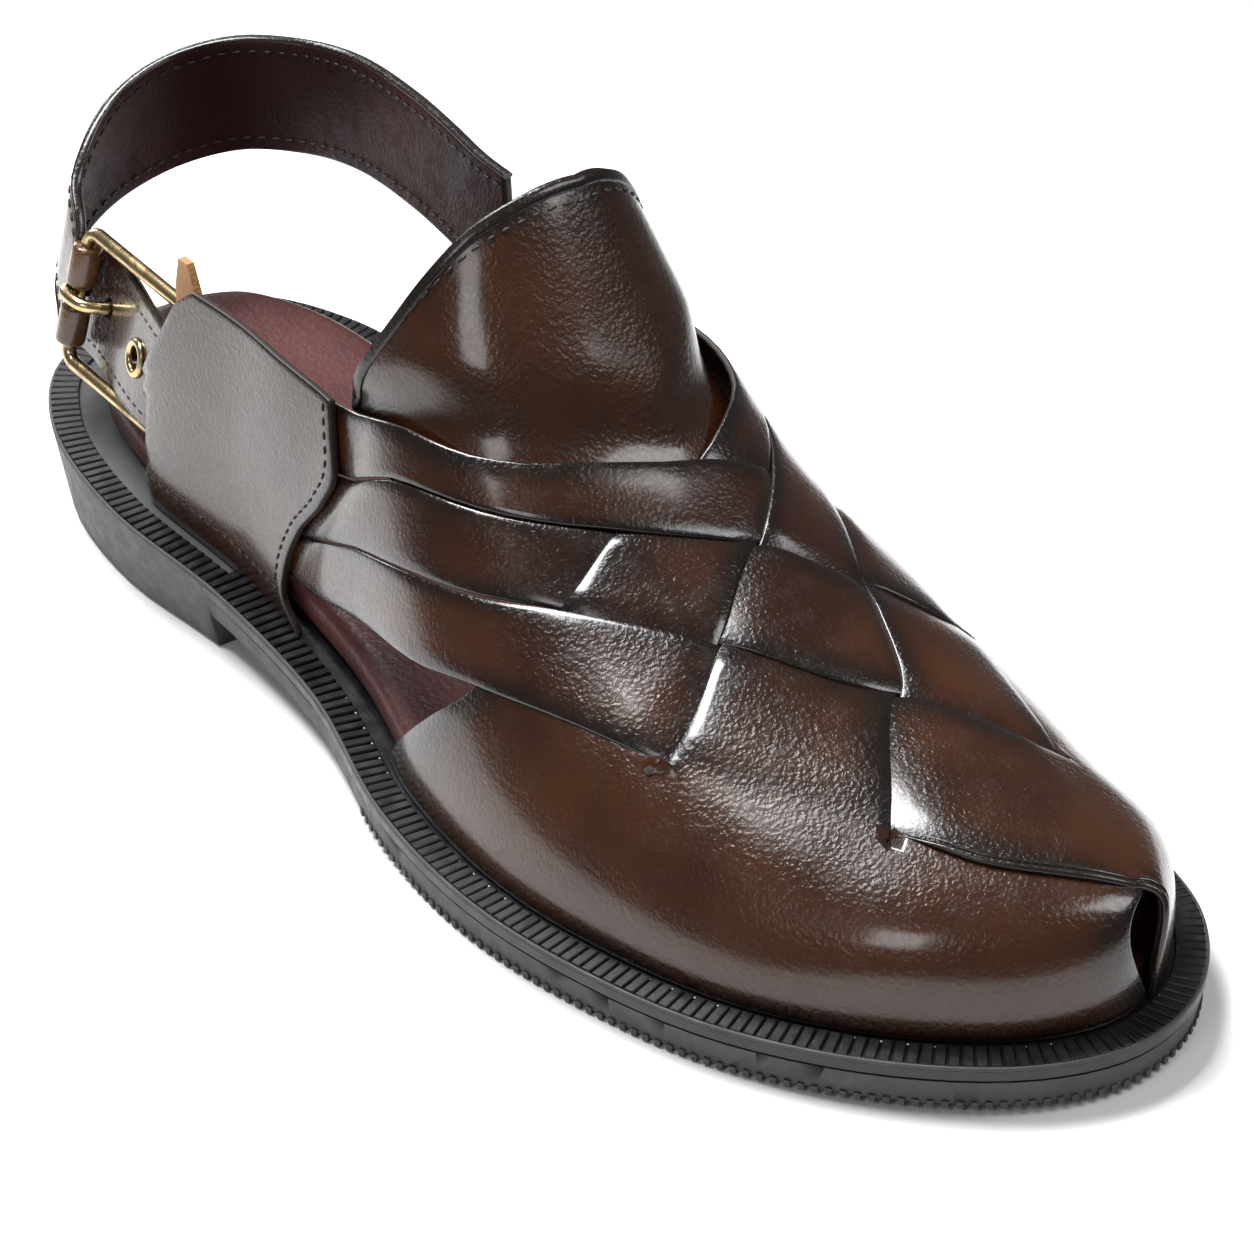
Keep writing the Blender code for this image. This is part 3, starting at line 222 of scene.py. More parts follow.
# Rows of the prong: along the buckle and outward, as shares of the frame's length.
PRONG: tuple[Row, ...] = (
    (0.060, 0.082),
    (0.120, 0.070),
    (0.165, 0.030),
    (0.195, -0.040),
    (0.212, -0.110),
    (0.240, -0.175),
    (0.300, -0.200),
    (0.420, -0.180),
    (0.700, -0.130),
    (1.060, -0.090),
)


class Side(Enum):
    """The side of the foot."""

    OUTER = "outer"
    INNER = "inner"


def smooth_rise(value: Array | float) -> Array:
    """Eases from 0 to 1 as the value goes from 0 to 1."""
    t = np.clip(value, 0.0, 1.0)
    return t * t * (3 - 2 * t)


def along_table(rows: Sequence[Row], column: int, at: Array | float) -> Array:
    """Reads a table on a smooth curve that never overshoots.

    Args:
        rows: The table, its first column rising.
        column: The column to read.
        at: Values of the first column.

    Returns:
        The column's value at each place.
    """
    table = np.array(rows, float)
    x, y = table[:, 0], table[:, column]
    step = np.diff(x)
    slope = np.diff(y) / step
    bend = np.zeros(len(x))
    bend[0], bend[-1] = slope[0], slope[-1]
    for i in range(1, len(x) - 1):
        if slope[i - 1] * slope[i] > 0:
            before = 2 * step[i] + step[i - 1]
            after = step[i] + 2 * step[i - 1]
            bend[i] = (before + after) / (before / slope[i - 1] + after / slope[i])
    at = np.clip(np.asarray(at, float), x[0], x[-1])
    i = np.clip(np.searchsorted(x, at, side="right") - 1, 0, len(x) - 2)
    t = (at - x[i]) / step[i]
    return (
        (2 * t**3 - 3 * t**2 + 1) * y[i]
        + (t**3 - 2 * t**2 + t) * step[i] * bend[i]
        + (3 * t**2 - 2 * t**3) * y[i + 1]
        + (t**3 - t**2) * step[i] * bend[i + 1]
    )


def smooth_span(points: Sequence[Array], gaps: Sequence[float], samples: int) -> list[Array]:
    """Points of one span of a centripetal curve, without the span's end.

    Args:
        points: The four points round the span.
        gaps: The three parameter steps between them.
        samples: How many points the span gets.

    Returns:
        The points from the span's start.
    """
    p0, p1, p2, p3 = points
    t1 = gaps[0]
    t2 = t1 + gaps[1]
    t3 = t2 + gaps[2]
    made = []
    for t in np.linspace(t1, t2, samples, endpoint=False):
        a1 = (t1 - t) / t1 * p0 + t / t1 * p1
        a2 = (t2 - t) / (t2 - t1) * p1 + (t - t1) / (t2 - t1) * p2
        a3 = (t3 - t) / (t3 - t2) * p2 + (t - t2) / (t3 - t2) * p3
        b1 = (t2 - t) / t2 * a1 + t / t2 * a2
        b2 = (t3 - t) / (t3 - t1) * a2 + (t - t1) / (t3 - t1) * a3
        made.append((t2 - t) / (t2 - t1) * b1 + (t - t1) / (t2 - t1) * b2)
    return made


def closed_curve(rows: Iterable[Row], per_span: int) -> Array:
    """A smooth closed curve through the points.

    Args:
        rows: The points.
        per_span: How many points each span gets.

    Returns:
        The curve's points.
    """
    points = np.array(list(rows), float)
    count = len(points)
    gap = np.sqrt(np.linalg.norm(np.roll(points, -1, 0) - points, axis=1))
    curve: list[Array] = []
    for i in range(count):
        four = [points[(i + k) % count] for k in (-1, 0, 1, 2)]
        curve += smooth_span(four, (gap[i - 1], gap[i], gap[(i + 1) % count]), per_span)
    return np.array(curve)


def even(points: Array, samples: int) -> Array:
    """The line of points sampled evenly along its length.

    Args:
        points: The line's points.
        samples: How many points to return.

    Returns:
        The new points.
    """
    run = np.concatenate([[0], np.cumsum(np.linalg.norm(np.diff(points, axis=0), axis=1))])
    steps = np.linspace(0, run[-1], samples)
    return np.stack([np.interp(steps, run, points[:, k]) for k in range(points.shape[1])], axis=1)


def open_curve(rows: Iterable[Row], samples: int) -> Array:
    """A smooth open curve through the points, sampled evenly along its length.

    Args:
        rows: The points.
        samples: How many points to return.

    Returns:
        The curve's points.
    """
    points = np.array(list(rows), float)
    padded = np.vstack([2 * points[0] - points[1], points, 2 * points[-1] - points[-2]])
    gap = np.sqrt(np.linalg.norm(np.diff(padded, axis=0), axis=1))
    curve: list[Array] = []
    for i in range(len(points) - 1):
        curve += smooth_span(padded[i : i + 4], gap[i : i + 3], 12)
    return even(np.array([*curve, points[-1]]), samples)


def unit(vectors: Array | Row) -> Array:
    """Each vector at a length of one."""
    vectors = np.asarray(vectors, float)
    return vectors / np.linalg.norm(vectors, axis=-1)[..., None]


def inset(loop: Array, depth: Array | float) -> Array:
    """A closed loop moved inward by a depth, one value or one for each point.

    Args:
        loop: The loop's points from above.
        depth: The depth.

    Returns:
        The moved points.
    """
    along = unit(np.roll(loop, -1, 0) - np.roll(loop, 1, 0))
    inward = np.stack([-along[:, 1], along[:, 0]], axis=1)
    return loop + inward * np.broadcast_to(depth, len(loop))[:, None]


@dataclass(frozen=True)
class Last:
    """The surface that the leather lies on, with the sole's outline below it."""

    length: float = 0.290
    ball_width: float = 0.110
    forefoot: float = 0.0086
    heel_back: float = 0.0205
    toe_spring: float = 0.0015
    instep: float = 0.124
    welt_rim: float = 0.0065
    heel_rim: float = 0.0090
    gap: float = 0.0003
    heel_point: float = 0.018
    toe_point: float = 0.128
    side_bulge: float = 0.0022
    toe_bulge: float = 0.0022
    split_side: float = 0.208
    fan_start: float = 0.903
    rear_share: float = 0.207
    middle: tuple[float, float] = field(init=False)
    outer: Array = field(init=False)
    inner: Array = field(init=False)

    def __post_init__(self) -> None:
        """Works out the shared origin and both halves of the feather line."""
        outline = self.outline(5)
        centre = (outline.min(axis=0) + outline.max(axis=0)) / 2
        object.__setattr__(self, "middle", (float(centre[0]), float(centre[1])))
        wide = self.outline(40)
        loop = inset(wide, self.rim(wide[:, 0]))
        loop = np.roll(loop, -int(np.argmin(loop[:, 0])), 0)
        beside = np.abs(loop[:, 1] - self.split_side * self.ball_width)
        split = int(np.argmin(np.where(loop[:, 0] > self.fan_start * self.length, beside, np.inf)))
        object.__setattr__(self, "outer", loop[: split + 1])
        object.__setattr__(self, "inner", np.vstack([loop[split:], loop[:1]])[::-1])

    def outline(self, per_span: int) -> Array:
        """The welt's outer edge from above, from the heel's back round the outer side."""
        heel = [(0.0, self.heel_point * self.ball_width)]
        toe = [(self.length, self.toe_point * self.ball_width)]
        outer = [(x * self.length, -o * self.ball_width) for x, o, _ in OUTLINE]
        inner = [(x * self.length, i * self.ball_width) for x, _, i in reversed(OUTLINE)]
        return closed_curve(heel + outer + toe + inner, per_span)

    def welt_top(self, x: Array) -> Array:
        """Height of the welt's top over the floor."""
        share = np.asarray(x) / self.length
        rise = along_table(WELT_RISE, 1, share)
        spring = self.toe_spring * smooth_rise((share - 0.76) / 0.24)
        return self.forefoot + rise * (self.heel_back - self.forefoot) + spring

    def rim(self, x: Array) -> Array:
        """Width of the welt outside the upper."""
        share = smooth_rise((np.asarray(x) / self.length - 0.21) / 0.24)
        return self.heel_rim + (self.welt_rim - self.heel_rim) * share

    def feather(self, side: Array, station: Array) -> tuple[Array, Array]:
        """Places on one half of the feather line, by length and then by arc round the toe.

        Args:
            side: The half of the feather line.
            station: Lengths from the heel.

        Returns:
            The places along and across.
        """
        start = self.fan_start * self.length
        rear = side[: np.argmax(side[:, 0]) + 1]
        y = np.interp(station, rear[:, 0], rear[:, 1])
        first = int(np.argmax(side[:, 0] > start))
        toe = np.vstack([(start, np.interp(start, rear[:, 0], rear[:, 1])), side[first:]])
        run = np.concatenate([[0], np.cumsum(np.linalg.norm(np.diff(toe, axis=0), axis=1))])
        share = np.clip((station - start) / (self.outer[-1, 0] - start), 0, 1)
        toe_x = np.interp(share * run[-1], run, toe[:, 0])
        toe_y = np.interp(share * run[-1], run, toe[:, 1])
        return np.where(station > start, toe_x, station), np.where(station > start, toe_y, y)

    def point(self, share: Array, degrees: Array) -> Array:
        """Points of the last.

        Args:
            share: Share of the length.
            degrees: Turn round the section, from the outer feather line at 0 to the inner at 180.

        Returns:
            The points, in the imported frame.
        """
        share, degrees = np.broadcast_arrays(np.asarray(share, float), np.asarray(degrees, float))
        angle = np.radians(degrees)
        station = share * self.length
        outer_x, outer_y = self.feather(self.outer, station)
        inner_x, inner_y = self.feather(self.inner, station)
        split = self.outer[-1]
        reach = smooth_rise((share - self.fan_start) / (split[0] / self.length - self.fan_start))
        ridge_y = along_table(RIDGE, 1, share) * self.ball_width
        ridge_y = ridge_y + reach * (split[1] - ridge_y)
        floor = self.welt_top(outer_x * (degrees <= 90) + inner_x * (degrees > 90)) + self.gap
        level, up = np.abs(np.cos(angle)), np.abs(np.sin(angle))
        outer_side = np.cos(angle) > 0
        power = np.where(outer_side, along_table(FULLNESS, 1, share), along_table(FULLNESS, 2, share))
        spread = level**power
        side_x = np.where(outer_side, outer_x, inner_x)
        side_y = np.where(outer_side, outer_y, inner_y)
        swell = self.side_bulge * np.sin(2 * angle) ** 2 * smooth_rise((share - 0.84) / 0.08)
        away = np.where(outer_side, -1.0, 1.0) * (1 - reach)
        x = station + (side_x - station) * spread + self.toe_bulge * reach * up
        y = ridge_y + (side_y - ridge_y) * spread + away * swell
        z = floor + along_table(RIDGE, 2, share) * self.instep * up ** along_table(FULLNESS, 3, share)
        return np.stack([x - self.middle[0], y - self.middle[1], z], axis=-1)

    def normal(self, share: Array, degrees: Array) -> Array:
        """The direction straight out of the last.

        Args:
            share: Share of the length.
            degrees: Turn round the section.

        Returns:
            Unit directions.
        """
        step, turn = 0.002, 1.0
        most = self.outer[-1, 0] / self.length - 0.0005
        low = np.maximum(np.asarray(share) - step, self.rear_share)
        high = np.minimum(np.asarray(share) + step, most)
        along = self.point(high, degrees) - self.point(low, degrees)
        less = np.maximum(np.asarray(degrees) - turn, 0.0)
        more = np.minimum(np.asarray(degrees) + turn, 180.0)
        return unit(np.cross(along, self.point(share, more) - self.point(share, less)))

    def on(self, places: Array, lift: Array | float) -> Array:
        """Points at a height over places on the last."""
        share, degrees = places[..., 0], places[..., 1]
        raised = np.broadcast_to(np.asarray(lift, float), share.shape)
        return self.point(share, degrees) + self.normal(share, degrees) * raised[..., None]

    def scaled(self, rows: Iterable[Row]) -> Array:
        """Rows of shares along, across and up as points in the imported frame."""
        table = np.array([row[:3] for row in rows]) * (self.length, self.ball_width, self.instep)
        return table - (*self.middle, 0.0)


LAST = Last()


def mirrored(places: Array) -> Array:
    """The same places on the other side of the ridge."""
    return places * np.array((1.0, -1.0)) + np.array((0.0, 180.0))


class Graph:
    """A material's node tree, with short calls to add and join nodes."""

    def __init__(self, name: str) -> None:
        """Starts a material that holds its Principled shader and its output."""
        self.material = bpy.data.materials.new(name)
        self.material.use_nodes = True
        self.tree = self.material.node_tree
        self.shader = self.tree.nodes["Principled BSDF"]
        self.place = self.add("ShaderNodeTexCoord").outputs["Object"]

    def add(self, kind: str, settings: dict[str, object] | None = None, **inputs: object) -> bpy.types.Node:
        """Adds a node.

        Args:
            kind: The node's type.
            settings: Its own options.
            **inputs: Values or links of its inputs, by name with _ for a space.

        Returns:
            The new node.
        """
        node = self.tree.nodes.new(kind)
        for option, value in (settings or {}).items():
            setattr(node, option, value)
        for name, value in inputs.items():
            socket = node.inputs[int(name[1:])] if name[0] == "_" else node.inputs[name.replace("_", " ")]
            if isinstance(value, Socket):
                self.tree.links.new(value, socket)
            else:
                socket.default_value = value
        return node

    def noise(self, scale: float, detail: float = 4.0, roughness: float = 0.55) -> Socket:
        """A noise on the piece's own coordinates."""
        sizes = {"Scale": scale, "Detail": detail, "Roughness": roughness}
        return self.add("ShaderNodeTexNoise", Vector=self.place, **sizes).outputs["Fac"]

    def cells(self, scale: float, wander: float = 0.0016, smoothness: float = 0.4) -> Socket:
        """Distance to the middle of irregular cells."""
        wobble = self.add("ShaderNodeTexNoise", Vector=self.place, Scale=scale * 0.6, Detail=2.0)
        shifted = self.add("ShaderNodeMix", {"data_type": "VECTOR"}, Factor=wander)
        self.tree.links.new(self.place, shifted.inputs[4])
        self.tree.links.new(wobble.outputs["Color"], shifted.inputs[5])
        options = {"feature": "SMOOTH_F1"}
        made = self.add("ShaderNodeTexVoronoi", options, Vector=shifted.outputs[1], Scale=scale)
        made.inputs["Smoothness"].default_value = smoothness
        return made.outputs["Distance"]

    def ramp(self, value: Socket, low: float, high: float, to: Row = (0.0, 1.0)) -> Socket:
        """Spreads a range of a value over another range, smoothly and clamped."""
        made = self.add("ShaderNodeMapRange", {"interpolation_type": "SMOOTHSTEP"}, Value=value)
        for name, number in zip(("From Min", "From Max", "To Min", "To Max"), (low, high, *to)):
            made.inputs[name].default_value = number
        return made.outputs["Result"]

    def mix(self, share: object, first: object, second: object) -> Socket:
        """A colour between two colours."""
        made = self.add("ShaderNodeMix", {"data_type": "RGBA"})
        for number, value in ((0, share), (6, first), (7, second)):
            if isinstance(value, Socket):
                self.tree.links.new(value, made.inputs[number])
            else:
                made.inputs[number].default_value = value if number == 0 else (*value, 1.0)
        return made.outputs[2]

    def sum(self, first: object, share: float, second: object) -> Socket:
        """The first value plus a share of the second."""
        made = self.add("ShaderNodeMath", {"operation": "MULTIPLY_ADD"}, _0=second, _1=share, _2=first)
        return made.outputs["Value"]

    def bump(self, height: Socket, depth: float, strength: float = 1.0) -> None:
        """Gives the shader a relief of a depth in metres."""
        made = self.add("ShaderNodeBump", Strength=strength, Distance=depth, Height=height)
        self.tree.links.new(made.outputs["Normal"], self.shader.inputs["Normal"])

    def use(self, name: str, value: object) -> None:
        """Sets or links one of the shader's inputs."""
        socket = self.shader.inputs[name]
        if isinstance(value, Socket):
            self.tree.links.new(value, socket)
        elif isinstance(value, tuple):
            socket.default_value = (*value, 1.0)
        else:
            socket.default_value = value


@dataclass(frozen=True)
class Leather:
    """Burnished leather: mottled colour that darkens along its edge mask, at worn edges and in painted shade
    where woven straps dive under each other, with a pebbled grain under a coat.
    """

    name: str
    light: Row
    deep: Row
    rim: Row
    roughness: float = 0.27
    coat: float = 0.8
    coat_roughness: float = 0.15
    specular: float = 0.25
    mottle: float = 26.0
    speckle: float = 240.0
    grain: float = 1150.0
    depth: float = 0.00010
    edges: bool = False

    def material(self) -> bpy.types.Material:
        """Makes the leather's material."""
        graph = Graph(self.name)
        broad = graph.ramp(graph.noise(self.mottle, 3.0), 0.36, 0.66)
        fine = graph.ramp(graph.noise(self.speckle, 5.0, 0.6), 0.35, 0.75)
        colour = graph.mix(broad, self.deep, self.light)
        colour = graph.mix(graph.sum(0.0, 0.22, fine), colour, self.deep)
        if self.edges:
            # The edge mask darkens worn edges and the foot by the sole, and paints shade where a woven strap
            # dives under another.
            edge = graph.add("ShaderNodeAttribute", {"attribute_name": "edge"}).outputs["Fac"]
            worn = graph.ramp(graph.sum(edge, 0.35, graph.noise(70.0, 3.0)), 0.10, 0.95)
            colour = graph.mix(worn, self.rim, colour)
        graph.use("Base Color", colour)
        spread = (self.roughness - 0.05, self.roughness + 0.07)
        graph.use("Roughness", graph.ramp(fine, 0.0, 1.0, spread))
        graph.use("Specular IOR Level", self.specular)
        graph.use("Coat Weight", self.coat)
        graph.use("Coat Roughness", self.coat_roughness)
        graph.use("Coat IOR", 1.5)
        height = graph.sum(graph.cells(self.grain), 0.45, graph.noise(self.grain * 1.1, 4.0, 0.6))
        graph.bump(height, self.depth)
        return graph.material


@dataclass(frozen=True)
class Rubber:
    """Moulded rubber: nearly even, with a fine dusty grain and scuffs."""

    name: str
    colour: Row
    worn: Row
    roughness: float = 0.62

    def material(self) -> bpy.types.Material:
        """Makes the rubber's material."""
        graph = Graph(self.name)
        scuff = graph.ramp(graph.noise(120.0, 8.0, 0.7), 0.50, 0.78)
        graph.use("Base Color", graph.mix(scuff, self.colour, self.worn))
        spread = (self.roughness - 0.06, self.roughness + 0.10)
        graph.use("Roughness", graph.ramp(graph.noise(300.0, 4.0), 0.3, 0.7, spread))
        graph.bump(graph.noise(1400.0, 4.0, 0.7), 0.00006)
        return graph.material


@dataclass(frozen=True)
class Metal:
    """Aged brass: bright where it is rubbed and brown where tarnish stays."""

    name: str
    bright: Row
    dull: Row
    roughness: float = 0.22

    def material(self) -> bpy.types.Material:
        """Makes the metal's material."""
        graph = Graph(self.name)
        tarnish = graph.ramp(graph.noise(180.0, 6.0, 0.65), 0.42, 0.72)
        graph.use("Base Color", graph.mix(tarnish, self.bright, self.dull))
        graph.use("Metallic", 1.0)
        graph.use("Roughness", graph.ramp(tarnish, 0.0, 1.0, (self.roughness, self.roughness + 0.22)))
        graph.bump(graph.noise(900.0, 5.0), 0.00003)
        return graph.material


@dataclass(frozen=True)
class Plain:
    """A thread, a cut edge or another small thing: fibres of two close colours."""

    name: str
    colour: Row
    other: Row
    roughness: float = 0.6
    scale: float = 1600.0
    depth: float = 0.00005

    def material(self) -> bpy.types.Material:
        """Makes the material."""
        graph = Graph(self.name)
        fibre = graph.noise(self.scale, 4.0, 0.6)
        graph.use("Base Color", graph.mix(graph.ramp(fibre, 0.35, 0.65), self.colour, self.other))
        graph.use("Roughness", self.roughness)
        graph.bump(fibre, self.depth)
        return graph.material


class Finishes:
    """All the finishes, each made once."""

    def __init__(self) -> None:
        """Makes the materials."""
        self.upper = Leather(
            "burnished_leather", (0.043, 0.0138, 0.0040), (0.018, 0.0052, 0.0021), (0.0030, 0.0018, 0.0016),
            edges=True,
        ).material()
        self.strap = Leather(
            "strap_leather", (0.050, 0.021, 0.008), (0.022, 0.009, 0.005), (0.004, 0.003, 0.0025), edges=True
        ).material()
        self.sleeve = Leather(
            "sleeve_leather", (0.095, 0.042, 0.014), (0.048, 0.020, 0.008), (0.01, 0.006, 0.004)
        ).material()
        self.billet = Leather(
            "billet_leather", (0.030, 0.012, 0.006), (0.014, 0.006, 0.004), (0.004, 0.003, 0.0025)
        ).material()
        self.black = Leather(
            "rolled_edge_leather", (0.014, 0.009, 0.007), (0.007, 0.005, 0.004), (0.004, 0.003, 0.003),
            0.30, 0.6,
        ).material()
        self.lining = Leather(
            "brown_lining", (0.044, 0.013, 0.013), (0.024, 0.008, 0.009), (0.02, 0.01, 0.01), 0.5, 0.0,
            specular=0.10,
        ).material()
        self.footbed = Leather(
            "burgundy_footbed", (0.080, 0.023, 0.022), (0.050, 0.014, 0.015), (0.05, 0.01, 0.01), 0.45, 0.08,
            grain=900.0,
        ).material()
        self.tan = Leather(
            "tan_leather", (0.48, 0.27, 0.10), (0.34, 0.17, 0.06), (0.2, 0.1, 0.04), 0.55, 0.0
        ).material()
        self.cut = Plain("cut_edge", (0.010, 0.006, 0.005), (0.022, 0.013, 0.009), 0.5).material()
        charcoal = Rubber("charcoal_rubber", (0.040, 0.043, 0.045), (0.066, 0.069, 0.070), 0.58)
        self.outsole = charcoal.material()
        self.welt = Rubber("black_rubber", (0.0045, 0.005, 0.0065), (0.014, 0.015, 0.018), 0.34).material()
        self.brass = Metal("aged_brass", (0.56, 0.44, 0.24), (0.27, 0.19, 0.095)).material()
        self.dark_thread = Plain("dark_thread", (0.006, 0.004, 0.004), (0.020, 0.014, 0.012), 0.5).material()
        self.pale_thread = Plain("pale_thread", (0.62, 0.60, 0.56), (0.42, 0.40, 0.37), 0.7).material()


def grid(shape: Shape, points: Array, edge: Array | None = None) -> list[bmesh.types.BMVert]:
    """Lays a grid of faces over points.

    Args:
        shape: The mesh in hand.
        points: Rows and columns of points.
        edge: How far each point is from a darkened place, 0 there: worn cut edges, the foot of the leather
            by the sole, and painted shade where a strap dives under another.

    Returns:
        The new points of the mesh, row by row.
    """
    rows, columns = points.shape[:2]
    layer = shape.verts.layers.float.get("edge") or shape.verts.layers.float.new("edge")
    made = bmesh.ops.create_grid(shape, x_segments=columns - 1, y_segments=rows - 1, size=1.0)
    for vert in made["verts"]:
        c = round((vert.co.x + 1) / 2 * (columns - 1))
        r = round((vert.co.y + 1) / 2 * (rows - 1))
        vert.co = points[r, c]
        vert[layer] = 1.0 if edge is None else float(edge[r, c])
    return made["verts"]


def sweep(
    shape: Shape,
    path: Array,
    sides: Array,
    outs: Array,
    profile: Array,
    closed: bool = False,
) -> None:
    """Draws a closed profile along a path.

    Args:
        shape: The mesh in hand.
        path: The middle line.
        sides: The profile's first direction at each point.
        outs: The profile's second direction at each point.
        profile: The profile's points along both directions, one table or one for each point.
        closed: Whether the path closes on itself.
    """
    table = np.broadcast_to(profile, (len(path), *np.shape(profile)[-2:]))
    ring = path[:, None] + sides[:, None] * table[..., 0:1] + outs[:, None] * table[..., 1:2]
    ring = np.concatenate([ring, ring[:, :1]], axis=1)
    if closed:
        ring = np.concatenate([ring, ring[:1]], axis=0)
    before = set(shape.faces)
    bmesh.ops.remove_doubles(shape, verts=grid(shape, ring), dist=1e-7)
    fresh = [face for face in shape.faces if face not in before]
    if not closed:
        rim = [e for face in fresh for e in face.edges if e.is_boundary]
        bmesh.ops.holes_fill(shape, edges=list(set(rim)), sides=0)
        fresh = [face for face in shape.faces if face not in before]
    bmesh.ops.recalc_face_normals(shape, faces=fresh)


def round_profile(radius: float, count: int = 12) -> Array:
    """A circle's points."""
    turn = np.linspace(0, 2 * np.pi, count, endpoint=False)
    return np.stack([np.cos(turn), np.sin(turn)], axis=1) * radius


def frames(path: Array, ups: Array) -> tuple[Array, Array]:
    """The width and outward directions along a path.

    Args:
        path: The middle line.
        ups: Rough width directions.

    Returns:
        The width directions and the outward directions.
    """
    along = unit(np.gradient(path, axis=0))
    return unit(ups), unit(np.cross(along, ups))


def face_out(shape: Shape, far: Row, out: Row) -> None:
    """Makes a sheet's faces look outward.

    Args:
        shape: The mesh in hand.
        far: The way to the face that is looked at.
        out: The way that this face has to look.
    """
    bmesh.ops.recalc_face_normals(shape, faces=shape.faces)
    way = Vector(far)
    last = max(shape.faces, key=lambda face: face.calc_center_median().dot(way))
    if last.normal.dot(Vector(out)) < 0:
        bmesh.ops.reverse_faces(shape, faces=shape.faces)


@dataclass
class Piece:
    """A named piece in the making."""

    name: str
    slot: str
    materials: Sequence[bpy.types.Material]
    replaces: Sequence[str] = ()
    smooth_degrees: float = 40.0

    def finish(self, shape: Shape) -> bpy.types.Object:
        """Turns the mesh in hand into an object that rides on the sandal's body.

        Args:
            shape: The finished bmesh, which is freed.

        Returns:
            The object.
        """
        mesh = bpy.data.meshes.new(self.name)
        shape.to_mesh(mesh)
        shape.free()
        for made in self.materials:
            mesh.materials.append(made)
        mesh.shade_smooth()
        mesh.set_sharp_from_angle(angle=math.radians(self.smooth_degrees))
        piece = bpy.data.objects.new(self.name, mesh)
        bpy.context.scene.collection.objects.link(piece)
        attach(piece, BODY)
        if self.replaces:
            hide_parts(*self.replaces)
        LOG.info("%s: %d faces", self.name, len(mesh.polygons))
        return piece


def thicken(piece: bpy.types.Object, wall: float, under: int, rim: int, corner: float = 0.00035) -> None:
    """Gives a sheet its thickness below it, with rounded cut edges.

    Args:
        piece: The sheet.
        wall: Its thickness.
        under: How many slots further the underside's material lies.
        rim: The same for the cut edge's material.
        corner: The rounding of the cut edge.
    """
    solid = piece.modifiers.new("thickness", "SOLIDIFY")
    solid.thickness = wall
    solid.offset = -1.0
    solid.material_offset = under
    solid.material_offset_rim = rim
    soft = piece.modifiers.new("edges", "BEVEL")
    soft.width = corner
    soft.segments = 2
    soft.limit_method = "ANGLE"
    soft.angle_limit = math.radians(50)
    soft.material = -1


@dataclass(frozen=True)
class Thread:
    """The sizes of a row of stitches."""

    pitch: float
    length: float
    radius: float


def stitches(shape: Shape, path: Array, outs: Array, thread: Thread) -> None:
    """Sets thread stitches along a line, each a small drawn-out bead.

    Args:
        shape: The mesh in hand.
        path: The line.
        outs: The outward direction at each point.
        thread: The distance from stitch to stitch, a stitch's length and its radius.
    """
    total = float(np.sum(np.linalg.norm(np.diff(path, axis=0), axis=1)))
    count = max(2, int(total / thread.pitch))
    size = Matrix.Diagonal((thread.length / 2, thread.radius, thread.radius * 0.8, 1.0))
    line, out = even(path, count), even(outs, count)
    along = unit(np.gradient(line, axis=0))
    for place, run, up in zip(line, along, unit(out)):
        side = unit(np.cross(up, run))
        up = np.cross(run, side)
        turn = Matrix([[*run], [*side], [*up]]).transposed().to_4x4()
        spot = Matrix.Translation(place) @ turn @ size
        bmesh.ops.create_uvsphere(shape, u_segments=6, v_segments=4, radius=1.0, matrix=spot)


def merged_copy(node: str) -> Shape:
    """A copy of a solid's mesh with its shared points merged."""
    shape = bmesh.new()
    shape.from_mesh(bpy.data.objects[node].data)
    bmesh.ops.remove_doubles(shape, verts=shape.verts, dist=2e-6)
    return shape


def settled_copy(node: str) -> Shape:
    """A merged copy of a solid's mesh, with its triangles joined to quads."""
    shape = merged_copy(node)
    limits = dict.fromkeys(("angle_face_threshold", "angle_shape_threshold"), math.radians(25))
    bmesh.ops.join_triangles(shape, faces=shape.faces, **limits)
    return shape


def patch(u: Array, v: Array, low_v: Array, high_v: Array, low_u: Array, high_u: Array) -> Array:
    """Blends a patch between its four edges, each a line of places on the last.

    Args:
        u: Steps along the first direction.
        v: Steps along the second direction.
        low_v: The edge at the lowest v.
        high_v: The edge at the highest v.
        low_u: The edge at the lowest u.
        high_u: The edge at the highest u.

    Returns:
        Places, by u and then by v.
    """
    s = ((u - u[0]) / (u[-1] - u[0]))[:, None, None]
    t = ((v - v[0]) / (v[-1] - v[0]))[None, :, None]
    across = low_v[:, None] * (1 - t) + high_v[:, None] * t
    along = low_u[None] * (1 - s) + high_u[None] * s
    corners = (
        low_v[0] * (1 - s) * (1 - t) + low_v[-1] * s * (1 - t) + high_v[0] * (1 - s) * t + high_v[-1] * s * t
    )
    return across + along - corners


def strap_line(number: int, count: Array) -> Array:
    """The place on the last of one strap edge, at a crossing count."""
    rows = STRAP_LINES[number]
    return np.stack([along_table(rows, 1, count), along_table(rows, 2, count)], axis=-1)


